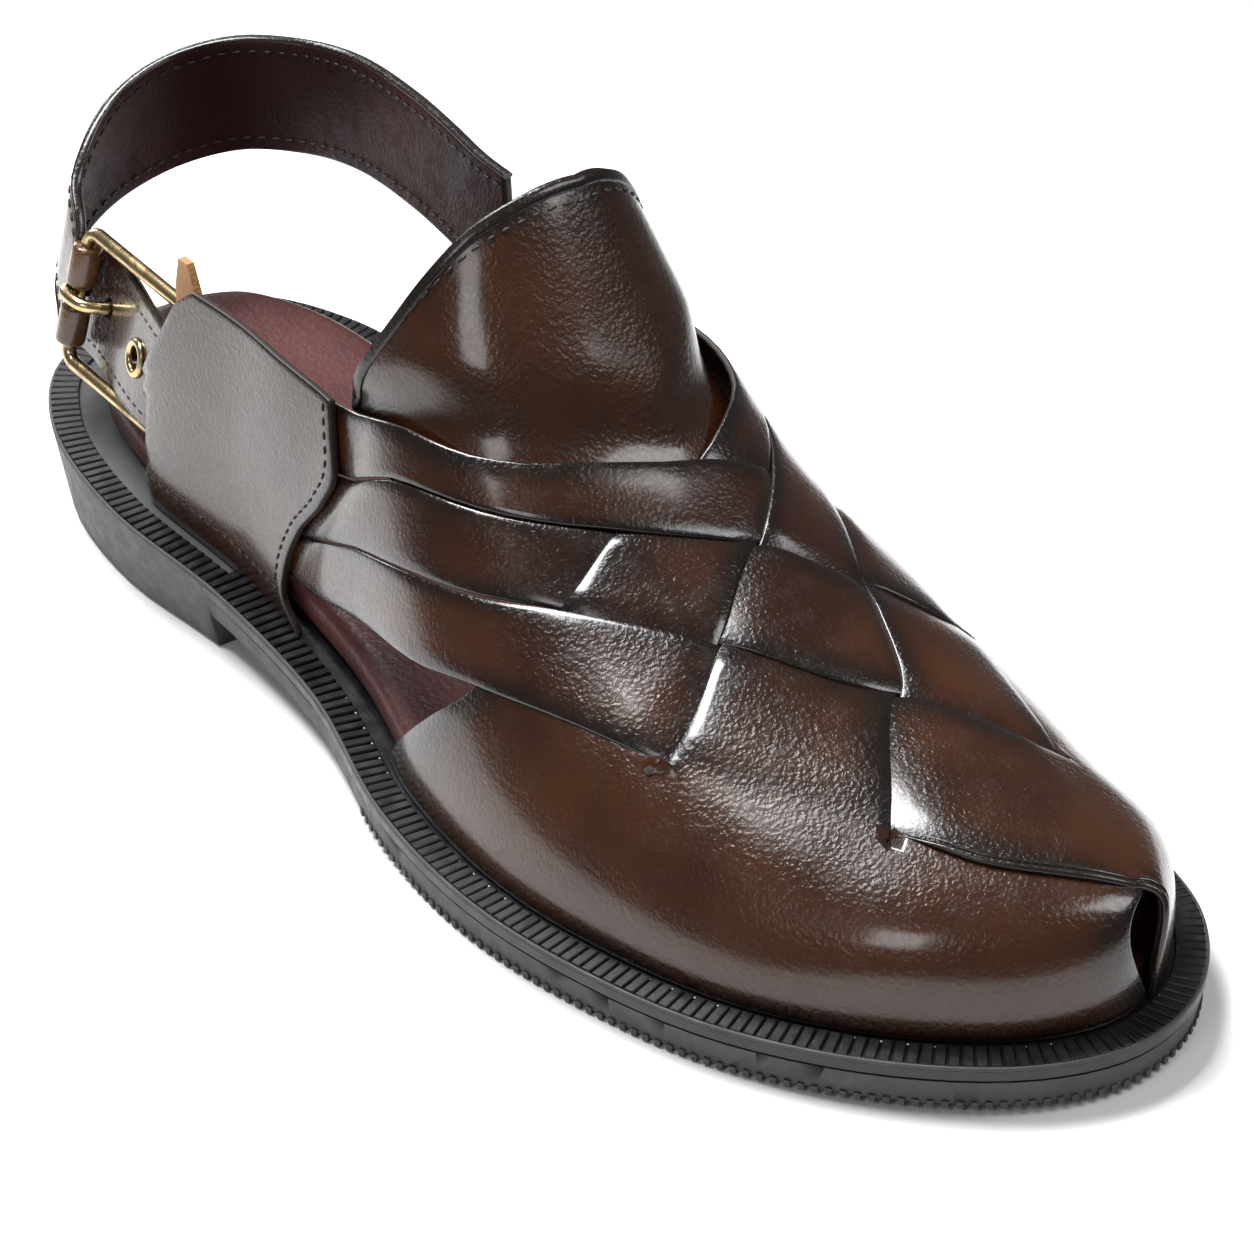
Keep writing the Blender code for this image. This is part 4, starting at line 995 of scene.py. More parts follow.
@dataclass
class WovenVamp:
    """The woven upper: two panels whose three straps each pass over and under each other."""

    finishes: Finishes
    wall: float = 0.0013
    over: float = 0.0012
    under: float = -0.0004
    merge: float = 0.0004
    tuck: float = -0.0007
    tuck_start: float = -0.62
    tuck_full: float = -0.78
    ramp: float = 0.24
    crown: float = 0.0003
    crown_reach: float = 0.12
    crown_ramp: float = 0.2
    gap_share: float = 0.005
    gap_end: float = 2.98
    gap_ramp: float = 0.12
    release: float = 2.7
    release_span: float = 0.3
    wing_fade: float = 0.5
    merged_wear: float = 0.6
    strap_width: float = 0.021
    edge_reach: float = 0.0085
    toe_bay: float = 0.008
    steps: int = 16
    across: int = 14
    wing_steps: int = 22
    bay_start: float = 3.04
    bay_span: float = 0.92
    bay_column: float = 2.2
    beads: tuple[Row, ...] = ((0.0, 0.00072, 0.0), (0.00125, 0.00062, 0.0001))

    def level(self, side: Side, strap: int, crossing: int) -> float:
        """Height of a strap's face in one of its crossings."""
        on_top = (crossing + strap) % 2 == (0 if side is Side.OUTER else 1)
        return self.over if on_top else self.under

    def levels(self, side: Side, strap: int) -> Row:
        """Heights of a strap's face, from its tail through the crossings to the wing."""
        return (self.over, *(self.level(side, strap, crossing) for crossing in (1, 2, 3)), self.merge)

    def lift(self, side: Side, strap: int, t: Array) -> Array:
        """Height of a strap along its length.

        Args:
            side: The side that the panel's tails lie on.
            strap: The strap's number, 1 to 3.
            t: Crossing counts.

        Returns:
            The height at each count.
        """
        levels = self.levels(side, strap)
        height = np.full(t.shape, levels[0])
        for k in range(4):
            rise = (t - k + self.ramp) / (2 * self.ramp)
            if k == 3:
                rise = (t - self.release) / self.release_span
            height = height + (levels[k + 1] - levels[k]) * smooth_rise(rise)
        tucked = smooth_rise((self.tuck_start - t) / (self.tuck_start - self.tuck_full))
        return height * (1 - tucked) + self.tuck * tucked

    def strap_places(self, strap: int) -> tuple[Array, Array, Array]:
        """Places of one strap of the first panel, from its tail to the end of the weave.

        Args:
            strap: The strap's number, 1 to 3.

        Returns:
            The places, the crossing counts and the steps across.
        """
        v = strap - 1 + np.linspace(0, 1, self.across + 1)
        tail = np.linspace(-1, 0, self.steps + 1)
        low, high = strap_line(strap - 1, tail), strap_line(strap, tail)
        share = (v - v[0])[:, None]
        end = low[0] * (1 - share) + high[0] * share
        rows = [patch(tail, v, low, high, end, mirrored(strap_line(0, v)))]
        counts = [tail]
        for crossing in (1, 2, 3):
            u = crossing - 1 + np.linspace(0, 1, self.steps + 1)
            low, high = strap_line(strap - 1, u), strap_line(strap, u)
            first, last = mirrored(strap_line(crossing - 1, v)), mirrored(strap_line(crossing, v))
            rows.append(patch(u, v, low, high, first, last)[1:])
            counts.append(u[1:])
        return np.concatenate(rows), np.concatenate(counts), v

    def wing_places(self) -> tuple[Array, Array, Array]:
        """Places of the first panel's wing, from the weave's end down to the feather line."""
        t = 3 + np.linspace(0, 1, self.wing_steps + 1)
        columns, counts = [], []
        for strap in (1, 2, 3):
            w = strap - 1 + np.linspace(0, 1, self.across + 1)
            rows = [(0.0, STRAP_LINES[0][-1][1])]
            rows += [(float(i), STRAP_LINES[i][-1][1]) for i in (1, 2, 3)]
            share = along_table(rows, 1, w)
            foot = np.stack([share, np.zeros_like(share)], axis=-1)
            first, last = mirrored(strap_line(strap - 1, t)), mirrored(strap_line(strap, t))
            block = patch(w, t, strap_line(3, w), foot, first, last)
            keep = slice(0 if strap == 1 else 1, None)
            columns.append(block[keep])
            counts.append(w[keep])
        places = mirrored(np.concatenate(columns)).transpose(1, 0, 2)
        return places, t, np.concatenate(counts)

    def turned(self, places: Array, side: Side) -> Array:
        """Places of the panel whose tails lie on a side."""
        return places if side is Side.OUTER else mirrored(places)

    def panel(self, side: Side) -> bpy.types.Object:
        """Builds one panel: three straps that run into one wing.

        Args:
            side: The side that its tails lie on.

        Returns:
            The panel.
        """
        shape = bmesh.new()
        for strap in (1, 2, 3):
            places, t, v = self.strap_places(strap)
            share = v - (strap - 1)
            parted = self.gap_share * smooth_rise((self.gap_end - t) / self.gap_ramp)
            middle = places[:, self.across // 2][:, None]
            places = places + (middle - places) * (2 * parted)[:, None, None]
            beside = np.minimum(share, 1 - share)
            drop = (1 - smooth_rise(beside / self.crown_reach))[None]
            drop = drop * smooth_rise((self.gap_end - t) / self.crown_ramp)[:, None]
            rise = self.lift(side, strap, t)[:, None] - self.crown * drop
            wear = (beside * self.strap_width)[None] / self.edge_reach
            # Painted shade: besides its worn edges, the strap darkens where it dives under the crossing
            # strap.
            wear = np.minimum(wear, self.painted_dive_shade(side, strap, t)[:, None])
            if strap != 2:
                release = smooth_rise((t - self.release) / self.release_span)[:, None]
                wear = wear + (1 - wear) * release * self.merged_wear
            grid(shape, LAST.on(self.turned(places, side), rise), np.clip(wear, 0, 1))
        self.add_wing(shape, side)
        bmesh.ops.remove_doubles(shape, verts=shape.verts, dist=2e-5)
        face_out(shape, UP, UP)
        name = f"vamp_panel_{side.value}"
        materials = (self.finishes.upper, self.finishes.lining, self.finishes.cut)
        made = Piece(name, "upper_leather", materials, ("upper",), 60.0).finish(shape)
        thicken(made, self.wall, 1, 2, 0.0004)
        return made

    def painted_dive_shade(self, side: Side, strap: int, t: Array) -> Array:
        """How far a strap is from the places where it dives under another, which get painted shade.

        Args:
            side: The side that the panel's tails lie on.
            strap: The strap's number, 1 to 3.
            t: Crossing counts.

        Returns:
            The distance as a share of the dark edge's reach; small values paint shade near the dive.
        """
        levels = self.levels(side, strap)
        wear = np.ones(t.shape)
        for k in range(4):
            if abs(levels[k + 1] - levels[k]) > 1e-5:
                wear = np.minimum(wear, np.abs(t - k) * self.strap_width / self.edge_reach + 0.25)
        return wear

    def add_wing(self, shape: Shape, side: Side) -> None:
        """Adds the wing that the three straps run into."""
        places, t, w = self.wing_places()
        if side is Side.INNER:
            bay = self.toe_bay * np.sin(np.pi * np.clip((t - self.bay_start) / self.bay_span, 0, 1))
            reach = smooth_rise((w - self.bay_column) / 0.8)
            places = places - (bay[:, None] * reach[None])[..., None] * (1.0, 0.0)
        rise = self.merge * (1 - smooth_rise((t - 3) / self.wing_fade))
        beside = np.minimum(w, 3 - w)
        opened = smooth_rise((t - 3.02) / self.crown_ramp)[:, None]
        height = rise[:, None] - self.crown * (1 - smooth_rise(beside / self.crown_reach))[None] * opened
        # Darker at the strap edges and towards the feather line at the wing's foot.
        wear = np.minimum((beside * self.strap_width)[None] / self.edge_reach, (4 - t)[:, None] * 5.0 + 0.1)
        grid(shape, LAST.on(self.turned(places, side), height), np.clip(wear, 0, 1))

    def toe_binding(self) -> bpy.types.Object:
        """The rolled double edge of the inner panel's wing where it lies over the outer one."""
        cell = np.linspace(2.0, 3.0, 30)
        wing = np.linspace(3.0, 3.98, 30)[1:]
        places = np.concatenate([strap_line(3, cell), strap_line(3, wing)])
        t = np.concatenate([cell, wing])
        merged = self.merge * (1 - smooth_rise((t - 3) / self.wing_fade))
        lift = np.where(t < 3, self.lift(Side.OUTER, 3, t), merged)
        line = LAST.on(places, lift - 0.0003)
        normals = LAST.normal(places[:, 0], places[:, 1])
        along = unit(np.gradient(line, axis=0))
        side = unit(np.cross(normals, along))
        shape = bmesh.new()
        swell = smooth_rise((t - 2.0) / 0.35) * 0.92 + 0.08
        for away, radius, drop in self.beads:
            path = line + side * away - normals * drop
            profile = round_profile(radius)[None] * swell[:, None, None]
            sweep(shape, path, side, normals, profile)
        piece = Piece("toe_binding", "upper_leather", (self.finishes.black,), (), 80.0)
        return piece.finish(shape)

    def build(self) -> None:
        """Builds both panels and the toe's rolled edge."""
        for side in Side:
            self.panel(side)
        self.toe_binding()


@dataclass
class InstepShield:
    """The raised flap over the instep, with its folded black edge and stitching."""

    finishes: Finishes
    wall: float = 0.0014
    tuck: float = 0.0029
    tuck_ramp: float = 0.010
    columns: int = 72
    rows: int = 26
    stitch_inset: float = 0.062
    band: float = 0.0024
    thread: Thread = Thread(0.0029, 0.0021, 0.00034)

    def edge(self, table: Sequence[Row], half: Array, turned: Array) -> Array:
        """One edge of the shield, mirrored over the ridge."""
        steps = [(k / (len(table) - 1), row[0], row[1]) for k, row in enumerate(table)]
        share, turn = along_table(steps, 1, half), along_table(steps, 2, half)
        return np.stack([share, np.where(turned, 180 - turn, turn)], axis=-1)

    def places(self, across: Array, down: Array) -> Array:
        """Places on the last, by the share across and the share down from the free edge."""
        half = np.where(across <= 1, across, 2 - across)
        top = self.edge(SHIELD_TOP, half, across > 1)
        foot = self.edge(SHIELD_FOOT, half, across > 1)
        return top[None] * (1 - down[:, None, None]) + foot[None] * down[:, None, None]

    def lift(self, places: Array) -> Array:
        """How far the shield dips to go under the weave."""
        turn = np.minimum(places[..., 1], 180 - places[..., 1])
        edge = along_table([(row[2], row[1]) for row in STRAP_LINES[0][:5]], 1, turn)
        ahead = (edge - places[..., 0]) * LAST.length
        return -self.tuck * (1 - smooth_rise((ahead - LAST.gap * 6) / self.tuck_ramp))

    def build(self) -> None:
        """Builds the shield, its folded edge and its stitches."""
        across = np.linspace(0, 2, self.columns + 1)
        down = np.linspace(0, 1, self.rows + 1)
        places = self.places(across, down)
        wear = np.minimum(down[:, None] * 7, np.minimum(across, 2 - across)[None] * 5) + 0.05
        shape = bmesh.new()
        grid(shape, LAST.on(places, self.lift(places)), np.clip(wear, 0, 1))
        face_out(shape, UP, UP)
        materials = (self.finishes.upper, self.finishes.lining, self.finishes.cut)
        made = Piece("shield", "upper_leather", materials, ("instep_shield",), 60.0).finish(shape)
        thicken(made, self.wall, 1, 2)
        self.add_edge(across)
        self.add_stitches(across)

    def add_edge(self, across: Array) -> None:
        """The band folded over the free edge."""
        rim = self.places(across, np.array((0.0, 0.08)))
        line = LAST.on(rim[0], self.lift(rim[0]))
        below = LAST.on(rim[1], self.lift(rim[1]))
        normals = LAST.normal(rim[0][:, 0], rim[0][:, 1])
        inward = unit(below - line)
        normals = unit(normals - inward * np.sum(normals * inward, axis=1)[:, None])
        wall, band = self.wall, self.band
        profile = np.array(
            (
                (band, 0.0001),
                (band * 0.85, 0.00042),
                (band * 0.4, 0.0005),
                (0.0, 0.00035),
                (-0.0004, -0.0003),
                (-0.0004, -wall + 0.0003),
                (0.0, -wall - 0.0003),
                (band * 0.5, -wall - 0.0004),
                (band, -wall - 0.0001),
                (band, -wall * 0.5),
            )
        )
        shape = bmesh.new()
        sweep(shape, line, inward, normals, profile)
        Piece("shield_folded_edge", "upper_leather", (self.finishes.black,), (), 50.0).finish(shape)

    def add_stitches(self, across: Array) -> None:
        """A row of dark stitches inside the folded edge."""
        inner = across[3:-3]
        rim = self.places(inner, np.array((self.stitch_inset,)))[0]
        line = LAST.on(rim, self.lift(rim) + 0.0001)
        shape = bmesh.new()
        stitches(shape, line, LAST.normal(rim[:, 0], rim[:, 1]), self.thread)
        Piece("shield_stitching", "upper_leather", (self.finishes.dark_thread,), (), 80.0).finish(shape)


@dataclass
class Quarter:
    """A quarter: the leather at one side that holds the straps' ends."""

    finishes: Finishes
    side: Side
    proud: float = 0.0012
    wall: float = 0.0016
    columns: int = 28
    rows: int = 34
    front_row: float = 0.955
    foot_row: float = 0.105
    thread: Thread = Thread(0.0024, 0.0018, 0.00026)

    def places(self, across: Array, level: Array) -> Array:
        """Places on the last, by the share across and the share of the height."""
        rear = [(h, x, d) for h, x, d, _, _ in QUARTER]
        if self.side is Side.INNER:
            rear = list(INNER_QUARTER_REAR)
        front = [(h, x, d) for h, _, _, x, d in QUARTER]
        back = np.stack([along_table(rear, 1, level), along_table(rear, 2, level)], axis=-1)
        fore = np.stack([along_table(front, 1, level), along_table(front, 2, level)], axis=-1)
        made = back[:, None] * (1 - across[None, :, None]) + fore[:, None] * across[None, :, None]
        return mirrored(made) if self.side is Side.INNER else made

    def build(self) -> None:
        """Builds the quarter and its stitches."""
        across = np.linspace(0, 1, self.columns + 1)
        level = np.linspace(0, 1, self.rows + 1)
        places = self.places(across, level)
        # Darker at the cut edges and towards the foot by the sole.
        across_wear = np.minimum(across, 1 - across)[None] * 7
        wear = np.minimum(across_wear, np.minimum(level * 5 + 0.2, (1 - level) * 9)[:, None]) + 0.05
        shape = bmesh.new()
        grid(shape, LAST.on(places, self.proud), np.clip(wear, 0, 1))
        face_out(shape, (0.0, 0.0, -1.0), (0.0, -1.0 if self.side is Side.OUTER else 1.0, 0.0))
        node = "quarter_lateral" if self.side is Side.OUTER else "quarter_medial"
        materials = (self.finishes.upper, self.finishes.lining, self.finishes.cut)
        name = f"quarter_{self.side.value}"
        made = Piece(name, "upper_leather", materials, (node,), 60.0).finish(shape)
        thicken(made, self.wall, 1, 2)
        self.add_stitches()

    def add_stitches(self) -> None:
        """Stitches along the front edge and along the foot."""
        shape = bmesh.new()
        level = np.linspace(0.10, 0.96, 40)
        front = self.places(np.array((self.front_row,)), level)[:, 0]
        across = np.linspace(0.04, 0.96, 40)
        foot = self.places(across, np.array((self.foot_row,)))[0]
        for rim in (front, foot):
            line = LAST.on(rim, self.proud + 0.0001)
            stitches(shape, line, LAST.normal(rim[:, 0], rim[:, 1]), self.thread)
        name = f"quarter_stitching_{self.side.value}"
        Piece(name, "upper_leather", (self.finishes.dark_thread,), (), 80.0).finish(shape)


@dataclass(frozen=True)
class BuckleFrame:
    """Where the buckle stands, and its directions."""

    along_share: float = 0.0914
    across_share: float = -0.241
    up_share: float = 0.368
    width_line: Row = (0.14, 0.24, 1.0)
    strap_line: Row = (1.0, 0.03, -0.09)
    rod: float = 0.0026
    length: float = 0.0345
    height: float = 0.0276
    corner: float = 0.0032
    prong: float = 0.0022

    def axes(self) -> tuple[Array, Array, Array, Array]:
        """The rear bar's middle, then the directions across, along and outward."""
        place = LAST.scaled([(self.along_share, self.across_share, self.up_share)])[0]
        along = unit(self.strap_line)
        width = unit(self.width_line)
        width = unit(width - along * along.dot(width))
        return place, width, along, np.cross(along, width)


def billet_width(points: Array, frame_sizes: BuckleFrame) -> Array:
    """Directions across the billet at one or more points of its middle line."""
    rows = [(-row[0], row[3]) for row in BILLET]
    lean = along_table(rows, 1, -(points[..., 0] + LAST.middle[0]) / LAST.length)
    one = np.ones_like(lean)
    return np.stack([one * frame_sizes.width_line[0], lean, one], axis=-1)


@dataclass
class Buckle:
    """The brass frame, its prong and the eyelet of the billet."""

    finishes: Finishes
    frame: BuckleFrame
    steps: int = 9
    rod: float = 0.0029
    prong_rod: float = 0.0025
    eyelet_share: float = 0.53
    eyelet_radius: float = 0.0031
    eyelet_rise: float = 0.0013
    eyelet_section: Row = (0.00085, 0.0006)

    def build(self) -> None:
        """Builds the frame, the prong and the eyelet."""
        self.add_frame()
        self.add_prong()
        self.add_eyelet()

    def add_eyelet(self) -> None:
        """The rolled brass ring set in the billet."""
        path = open_curve([*LAST.scaled(BILLET)], 200)
        number = round(self.eyelet_share * (len(path) - 1))
        along = unit(path[number - 1] - path[number + 1])
        width = billet_width(path[number], self.frame)
        width = unit(width - along * along.dot(width) / along.dot(along))
        out = np.cross(along, width)
        turn = np.linspace(0, 2 * np.pi, 48, endpoint=False)[:, None]
        spokes = np.cos(turn) * along + np.sin(turn) * width
        ring = path[number] + spokes * self.eyelet_radius + out * self.eyelet_rise
        outs = np.broadcast_to(out, ring.shape)
        shape = bmesh.new()
        sweep(shape, ring, spokes, outs, round_profile(1.0, 14) * self.eyelet_section, closed=True)
        Piece("eyelet", "buckle_brass", (self.finishes.brass,), ("billet_eyelet",), 80.0).finish(shape)

    def add_frame(self) -> None:
        """The round-rod frame with its rounded corners."""
        sizes = self.frame
        place, width, along, out = sizes.axes()
        half, corner = sizes.height / 2, sizes.corner
        centres = (
            (sizes.length - corner, half - corner, 0.0),
            (corner, half - corner, 0.5),
            (corner, corner - half, 1.0),
            (sizes.length - corner, corner - half, 1.5),
        )
        path = []
        for a, w, turn in centres:
            for step in np.linspace(0, 0.5, self.steps):
                angle = np.pi * (turn + step)
                far = along * (a + corner * math.cos(angle)) + width * (w + corner * math.sin(angle))
                path.append(place + far)
        line = np.array(path)
        outs = np.broadcast_to(out, line.shape)
        steps = unit(np.roll(line, -1, 0) - np.roll(line, 1, 0))
        shape = bmesh.new()
        sweep(shape, line, np.cross(steps, outs), outs, round_profile(self.rod / 2, 16), closed=True)
        brass = (self.finishes.brass,)
        Piece("buckle_frame_rod", "buckle_brass", brass, ("buckle_frame",), 80.0).finish(shape)

    def add_prong(self) -> None:
        """The prong, hooked round the rear bar, its tip thinner and rounded."""
        sizes = self.frame
        place, width, along, out = sizes.axes()
        wrap = sizes.rod / 2 + LAST.gap + sizes.prong / 2
        turns = np.pi * np.linspace(0.95, 0, 7)
        hook = [(-wrap * math.sin(turn), wrap * math.cos(turn)) for turn in turns]
        reach = [(a * sizes.length, o * sizes.length) for a, o in PRONG]
        path = open_curve([place + along * a + out * o for a, o in hook + reach], 70)
        share = np.linspace(0, 1, len(path))
        taper = 1 - 0.25 * smooth_rise((share - 0.5) / 0.5) - 0.5 * smooth_rise((share - 0.97) / 0.03)
        ups = np.broadcast_to(width, path.shape)
        sides, outs = frames(path, ups)
        shape = bmesh.new()
        profile = round_profile(self.prong_rod / 2, 14)[None] * taper[:, None, None]
        sweep(shape, path, sides, outs, profile)
        brass = (self.finishes.brass,)
        Piece("buckle_prong_rod", "buckle_brass", brass, ("buckle_prong",), 80.0).finish(shape)


@dataclass
class HeelStrap:
    """The sling-back strap, its sleeve on the buckle's rear bar, and its stitching."""

    finishes: Finishes
    frame: BuckleFrame
    width: float = 0.0240
    end_width: float = 0.0208
    thickness: float = 0.0022
    sleeve_wall: float = 0.0014
    notch: float = 0.0040
    sections: int = 120
    stitch_inset: float = 0.0026
    edge_radius: float = 0.0011
    thread: Thread = Thread(0.0030, 0.0022, 0.00028)

    def path(self) -> tuple[Array, Array, Array]:
        """The strap's middle line, its width directions and its widths."""
        place, width, along, _ = self.frame.axes()
        inner = self.frame.rod / 2 + LAST.gap
        end = place - along * (inner + self.sleeve_wall * 0.6)
        line = open_curve([*LAST.scaled(HEEL_STRAP), end], self.sections)
        share = np.linspace(0, 1, self.sections)
        up = np.array((0.0, 0.0, 1.0))
        ups = up + (width - up) * smooth_rise((share - 0.6) / 0.4)[:, None]
        widths = self.width + (self.end_width - self.width) * smooth_rise((share - 0.7) / 0.3)
        return line, ups, widths

    def build(self) -> None:
        """Builds the strap, its rolled edges, sleeve and stitches."""
        line, ups, widths = self.path()
        sides, outs = frames(line, ups)
        levels = np.linspace(-0.5, 0.5, 13)
        face = line[:, None] + sides[:, None] * levels[None, :, None] * widths[:, None, None]
        puff = 0.00035 * (1 - (2 * np.abs(levels)) ** 4)
        outer = face + outs[:, None] * (self.thickness / 2 - 0.0003 + puff)[None, :, None]
        wear = np.clip((0.5 - np.abs(levels)) * 5 + 0.1, 0, 1)
        shape = bmesh.new()
        grid(shape, outer, np.broadcast_to(wear, outer.shape[:2]))
        face_out(shape, (-1.0, 0.0, 0.0), (-1.0, 0.0, 0.0))
        materials = (self.finishes.strap, self.finishes.lining, self.finishes.cut)
        made = Piece("sling_strap", "strap_leather", materials, ("heel_strap",), 60.0).finish(shape)
        thicken(made, self.thickness - 0.0002, 1, 2, 0.0005)
        self.add_stitches(line, sides, outs, widths)
        self.add_edges(line, sides, outs, widths)
        self.add_sleeve()

    def add_stitches(self, line: Array, sides: Array, outs: Array, widths: Array) -> None:
        """Two rows of stitches on each face.

        Args:
            line: The strap's middle line.
            sides: Its width directions.
            outs: Its outward directions.
            widths: Its widths.
        """
        shape = bmesh.new()
        for sign in (-1, 1):
            for face in (-1, 1):
                away = sides * (sign * (widths / 2 - self.stitch_inset))[:, None]
                row = line + away + outs * face * (self.thickness / 2 + (0.00005 if face < 0 else 0.0))
                stitches(shape, row[2:-3], outs * face, self.thread)
        Piece("strap_stitching", "strap_leather", (self.finishes.dark_thread,), (), 80.0).finish(shape)

    def add_edges(self, line: Array, sides: Array, outs: Array, widths: Array) -> None:
        """The rolled edges, with the same arguments as the stitches."""
        shape = bmesh.new()
        for sign in (-1, 1):
            path = line + sides * (sign * (widths / 2 - 0.0002))[:, None]
            sweep(shape, path, sides, outs, round_profile(self.edge_radius, 10) * (0.55, 1.0))
        Piece("strap_rolled_edges", "strap_leather", (self.finishes.black,), (), 80.0).finish(shape)

    def add_sleeve(self) -> None:
        """The loops of leather round the rear bar, on both sides of the prong."""
        place, width, along, out = self.frame.axes()
        radius = self.frame.rod / 2 + LAST.gap + self.sleeve_wall
        reach = self.end_width / 2
        shape = bmesh.new()
        for low, high in ((-reach, -self.notch / 2), (self.notch / 2, reach)):
            steps = np.array((low, low + 0.0003, low + 0.001, high - 0.001, high - 0.0003, high))
            shrink = np.array((0.86, 0.97, 1.0, 1.0, 0.97, 0.86))
            path = place + width * steps[:, None]
            profile = round_profile(radius, 20)[None] * shrink[:, None, None]
            outs = np.broadcast_to(out, path.shape)
            sweep(shape, path, np.broadcast_to(along, path.shape), outs, profile)
        Piece("strap_sleeve", "strap_leather", (self.finishes.sleeve,), (), 50.0).finish(shape)


@dataclass
class Billet:
    """The short strap through the buckle, with its eyelet hole, black edges and stitches."""

    finishes: Finishes
    frame: BuckleFrame
    width: float = 0.0220
    thickness: float = 0.0020
    stitch_inset: float = 0.0024
    edge_radius: float = 0.00105
    thread: Thread = Thread(0.0026, 0.0019, 0.00026)

    def build(self) -> None:
        """Builds the billet, its edges and its stitches."""
        shape = merged_copy("billet_strap")
        Piece("billet", "strap_leather", (self.finishes.billet,), ("billet_strap",), 40.0).finish(shape)
        path = open_curve([*LAST.scaled(BILLET)], 90)[::-1]
        sides, outs = frames(path, unit(billet_width(path, self.frame)))
        shape = bmesh.new()
        for sign in (-1, 1):
            line = path + sides * sign * (self.width / 2 - 0.0003)
            sweep(shape, line, sides, outs, round_profile(self.edge_radius, 10) * (0.5, 1.0))
        Piece("billet_edges", "strap_leather", (self.finishes.black,), (), 80.0).finish(shape)
        shape = bmesh.new()
        for sign in (-1, 1):
            line = path + sides * sign * (self.width / 2 - self.stitch_inset) + outs * (self.thickness / 2)
            stitches(shape, line, outs, self.thread)
        Piece("billet_stitching", "strap_leather", (self.finishes.dark_thread,), (), 80.0).finish(shape)


@dataclass
class Sole:
    """The rubber outsole, the ribbed welt and the padded footbed."""

    finishes: Finishes
    heel_length: float = 0.088
    rib_pitch: float = 0.0023
    rib_width: float = 0.0019
    rib_height: float = 0.0006
    rib_corner: float = 0.00022
    bead_radius: float = 0.00042
    rib_start: float = 0.0005
    serration_start: float = 0.150
    serration_pitch: float = 0.0024
    tooth: Row = (0.0013, 0.0011, 0.0013)
    thread: Thread = Thread(0.0046, 0.0012, 0.00020)

    def build(self) -> None:
        """Dresses the three layers and adds the ribs, the beads, the serration and the stitches."""
        outsole = settled_copy("outsole")
        Piece("outsole_body", "outsole_rubber", (self.finishes.outsole,), ("outsole",), 25.0).finish(outsole)
        welt = settled_copy("welt")
        Piece("welt_body", "welt_rubber", (self.finishes.welt,), ("welt",), 25.0).finish(welt)
        pad = Piece("footbed_pad", "footbed_leather", (self.finishes.footbed,), ("footbed",), 70.0)
        made = pad.finish(settled_copy("footbed"))
        rounding = made.modifiers.new("rounding", "SUBSURF")
        rounding.levels = 1
        rounding.render_levels = 1
        self.add_ribs()
        self.add_bead()
        self.add_serration()
        self.add_stitches()

    def rim_line(self, pitch: float) -> tuple[Array, Array]:
        """The outline sampled evenly, and its inward directions.

        Args:
            pitch: The distance from point to point.

        Returns:
            The points and the directions.
        """
        outline = LAST.outline(40)
        total = float(np.sum(np.linalg.norm(np.roll(outline, -1, 0) - outline, axis=1)))
        closed = even(np.vstack([outline, outline[:1]]), int(total / pitch) + 1)[:-1]
        along = unit(np.roll(closed, -1, 0) - np.roll(closed, 1, 0))
        return closed, np.stack([-along[:, 1], along[:, 0]], axis=1)

    def add_ribs(self) -> None:
        """Low rounded ribs across the rim, all the way round."""
        line, inward = self.rim_line(self.rib_pitch)
        shape = bmesh.new()
        for place, into in zip(line, inward):
            x = float(place[0])
            rim = float(LAST.rim(x))
            reach = rim - 0.0012 if x > self.heel_length else rim * 0.62
            centre = place + into * (self.rib_start + reach / 2)
            top = float(LAST.welt_top(centre[0]))
            spin = Matrix.Rotation(math.atan2(into[1], into[0]), 4, "Z")
            spot = Vector((centre[0] - LAST.middle[0], centre[1] - LAST.middle[1], top))
            size = Matrix.Diagonal((reach, self.rib_width, self.rib_height * 2, 1.0))
            made = bmesh.ops.create_cube(shape, size=1.0, matrix=Matrix.Translation(spot) @ spin @ size)
            edges = {edge for vert in made["verts"] for edge in vert.link_edges}
            upper = [edge for edge in edges if all(vert.co.z > top for vert in edge.verts)]
            rounding = {"offset": self.rib_corner, "segments": 1, "profile": 0.5}
            bmesh.ops.bevel(shape, geom=upper, affect="EDGES", material=-1, **rounding)
        Piece("welt_ribs", "welt_rubber", (self.finishes.welt,), (), 30.0).finish(shape)

    def add_bead(self) -> None:
        """The thin rounded edge along the rim's top, in the lighter charcoal rubber as a painted highlight
        on the black welt.
        """
        outline = LAST.outline(16)
        line = inset(outline, 0.0004)
        height = LAST.welt_top(line[:, 0]) - 0.0001
        path = np.column_stack([line - LAST.middle, height])
        inward = np.column_stack([inset(outline, 1.0) - outline, np.zeros(len(outline))])
        ups = np.broadcast_to(UP, path.shape)
        shape = bmesh.new()
        sweep(shape, path, inward, ups, round_profile(self.bead_radius, 10), closed=True)
        Piece("rim_bead", "outsole_rubber", (self.finishes.outsole,), (), 80.0).finish(shape)

    def add_serration(self) -> None:
        """Small teeth along the bottom edge of the forefoot."""
        line, inward = self.rim_line(self.serration_pitch)
        shape = bmesh.new()
        for place, into in zip(line, inward):
            x = float(place[0])
            if x < self.serration_start:
                continue
            lift = LAST.toe_spring * float(smooth_rise((x / LAST.length - 0.80) / 0.20))
            lift += 0.0014 * float(1 - smooth_rise((x - self.serration_start) / 0.035))
            centre = place + into * 0.0012
            spin = Matrix.Rotation(math.atan2(into[1], into[0]), 4, "Z")
            spot = Vector((centre[0] - LAST.middle[0], centre[1] - LAST.middle[1], lift + 0.0009))
            size = Matrix.Diagonal((*self.tooth, 1.0))
            bmesh.ops.create_cube(shape, size=1.0, matrix=Matrix.Translation(spot) @ spin @ size)
        Piece("outsole_teeth", "outsole_rubber", (self.finishes.outsole,), (), 30.0).finish(shape)

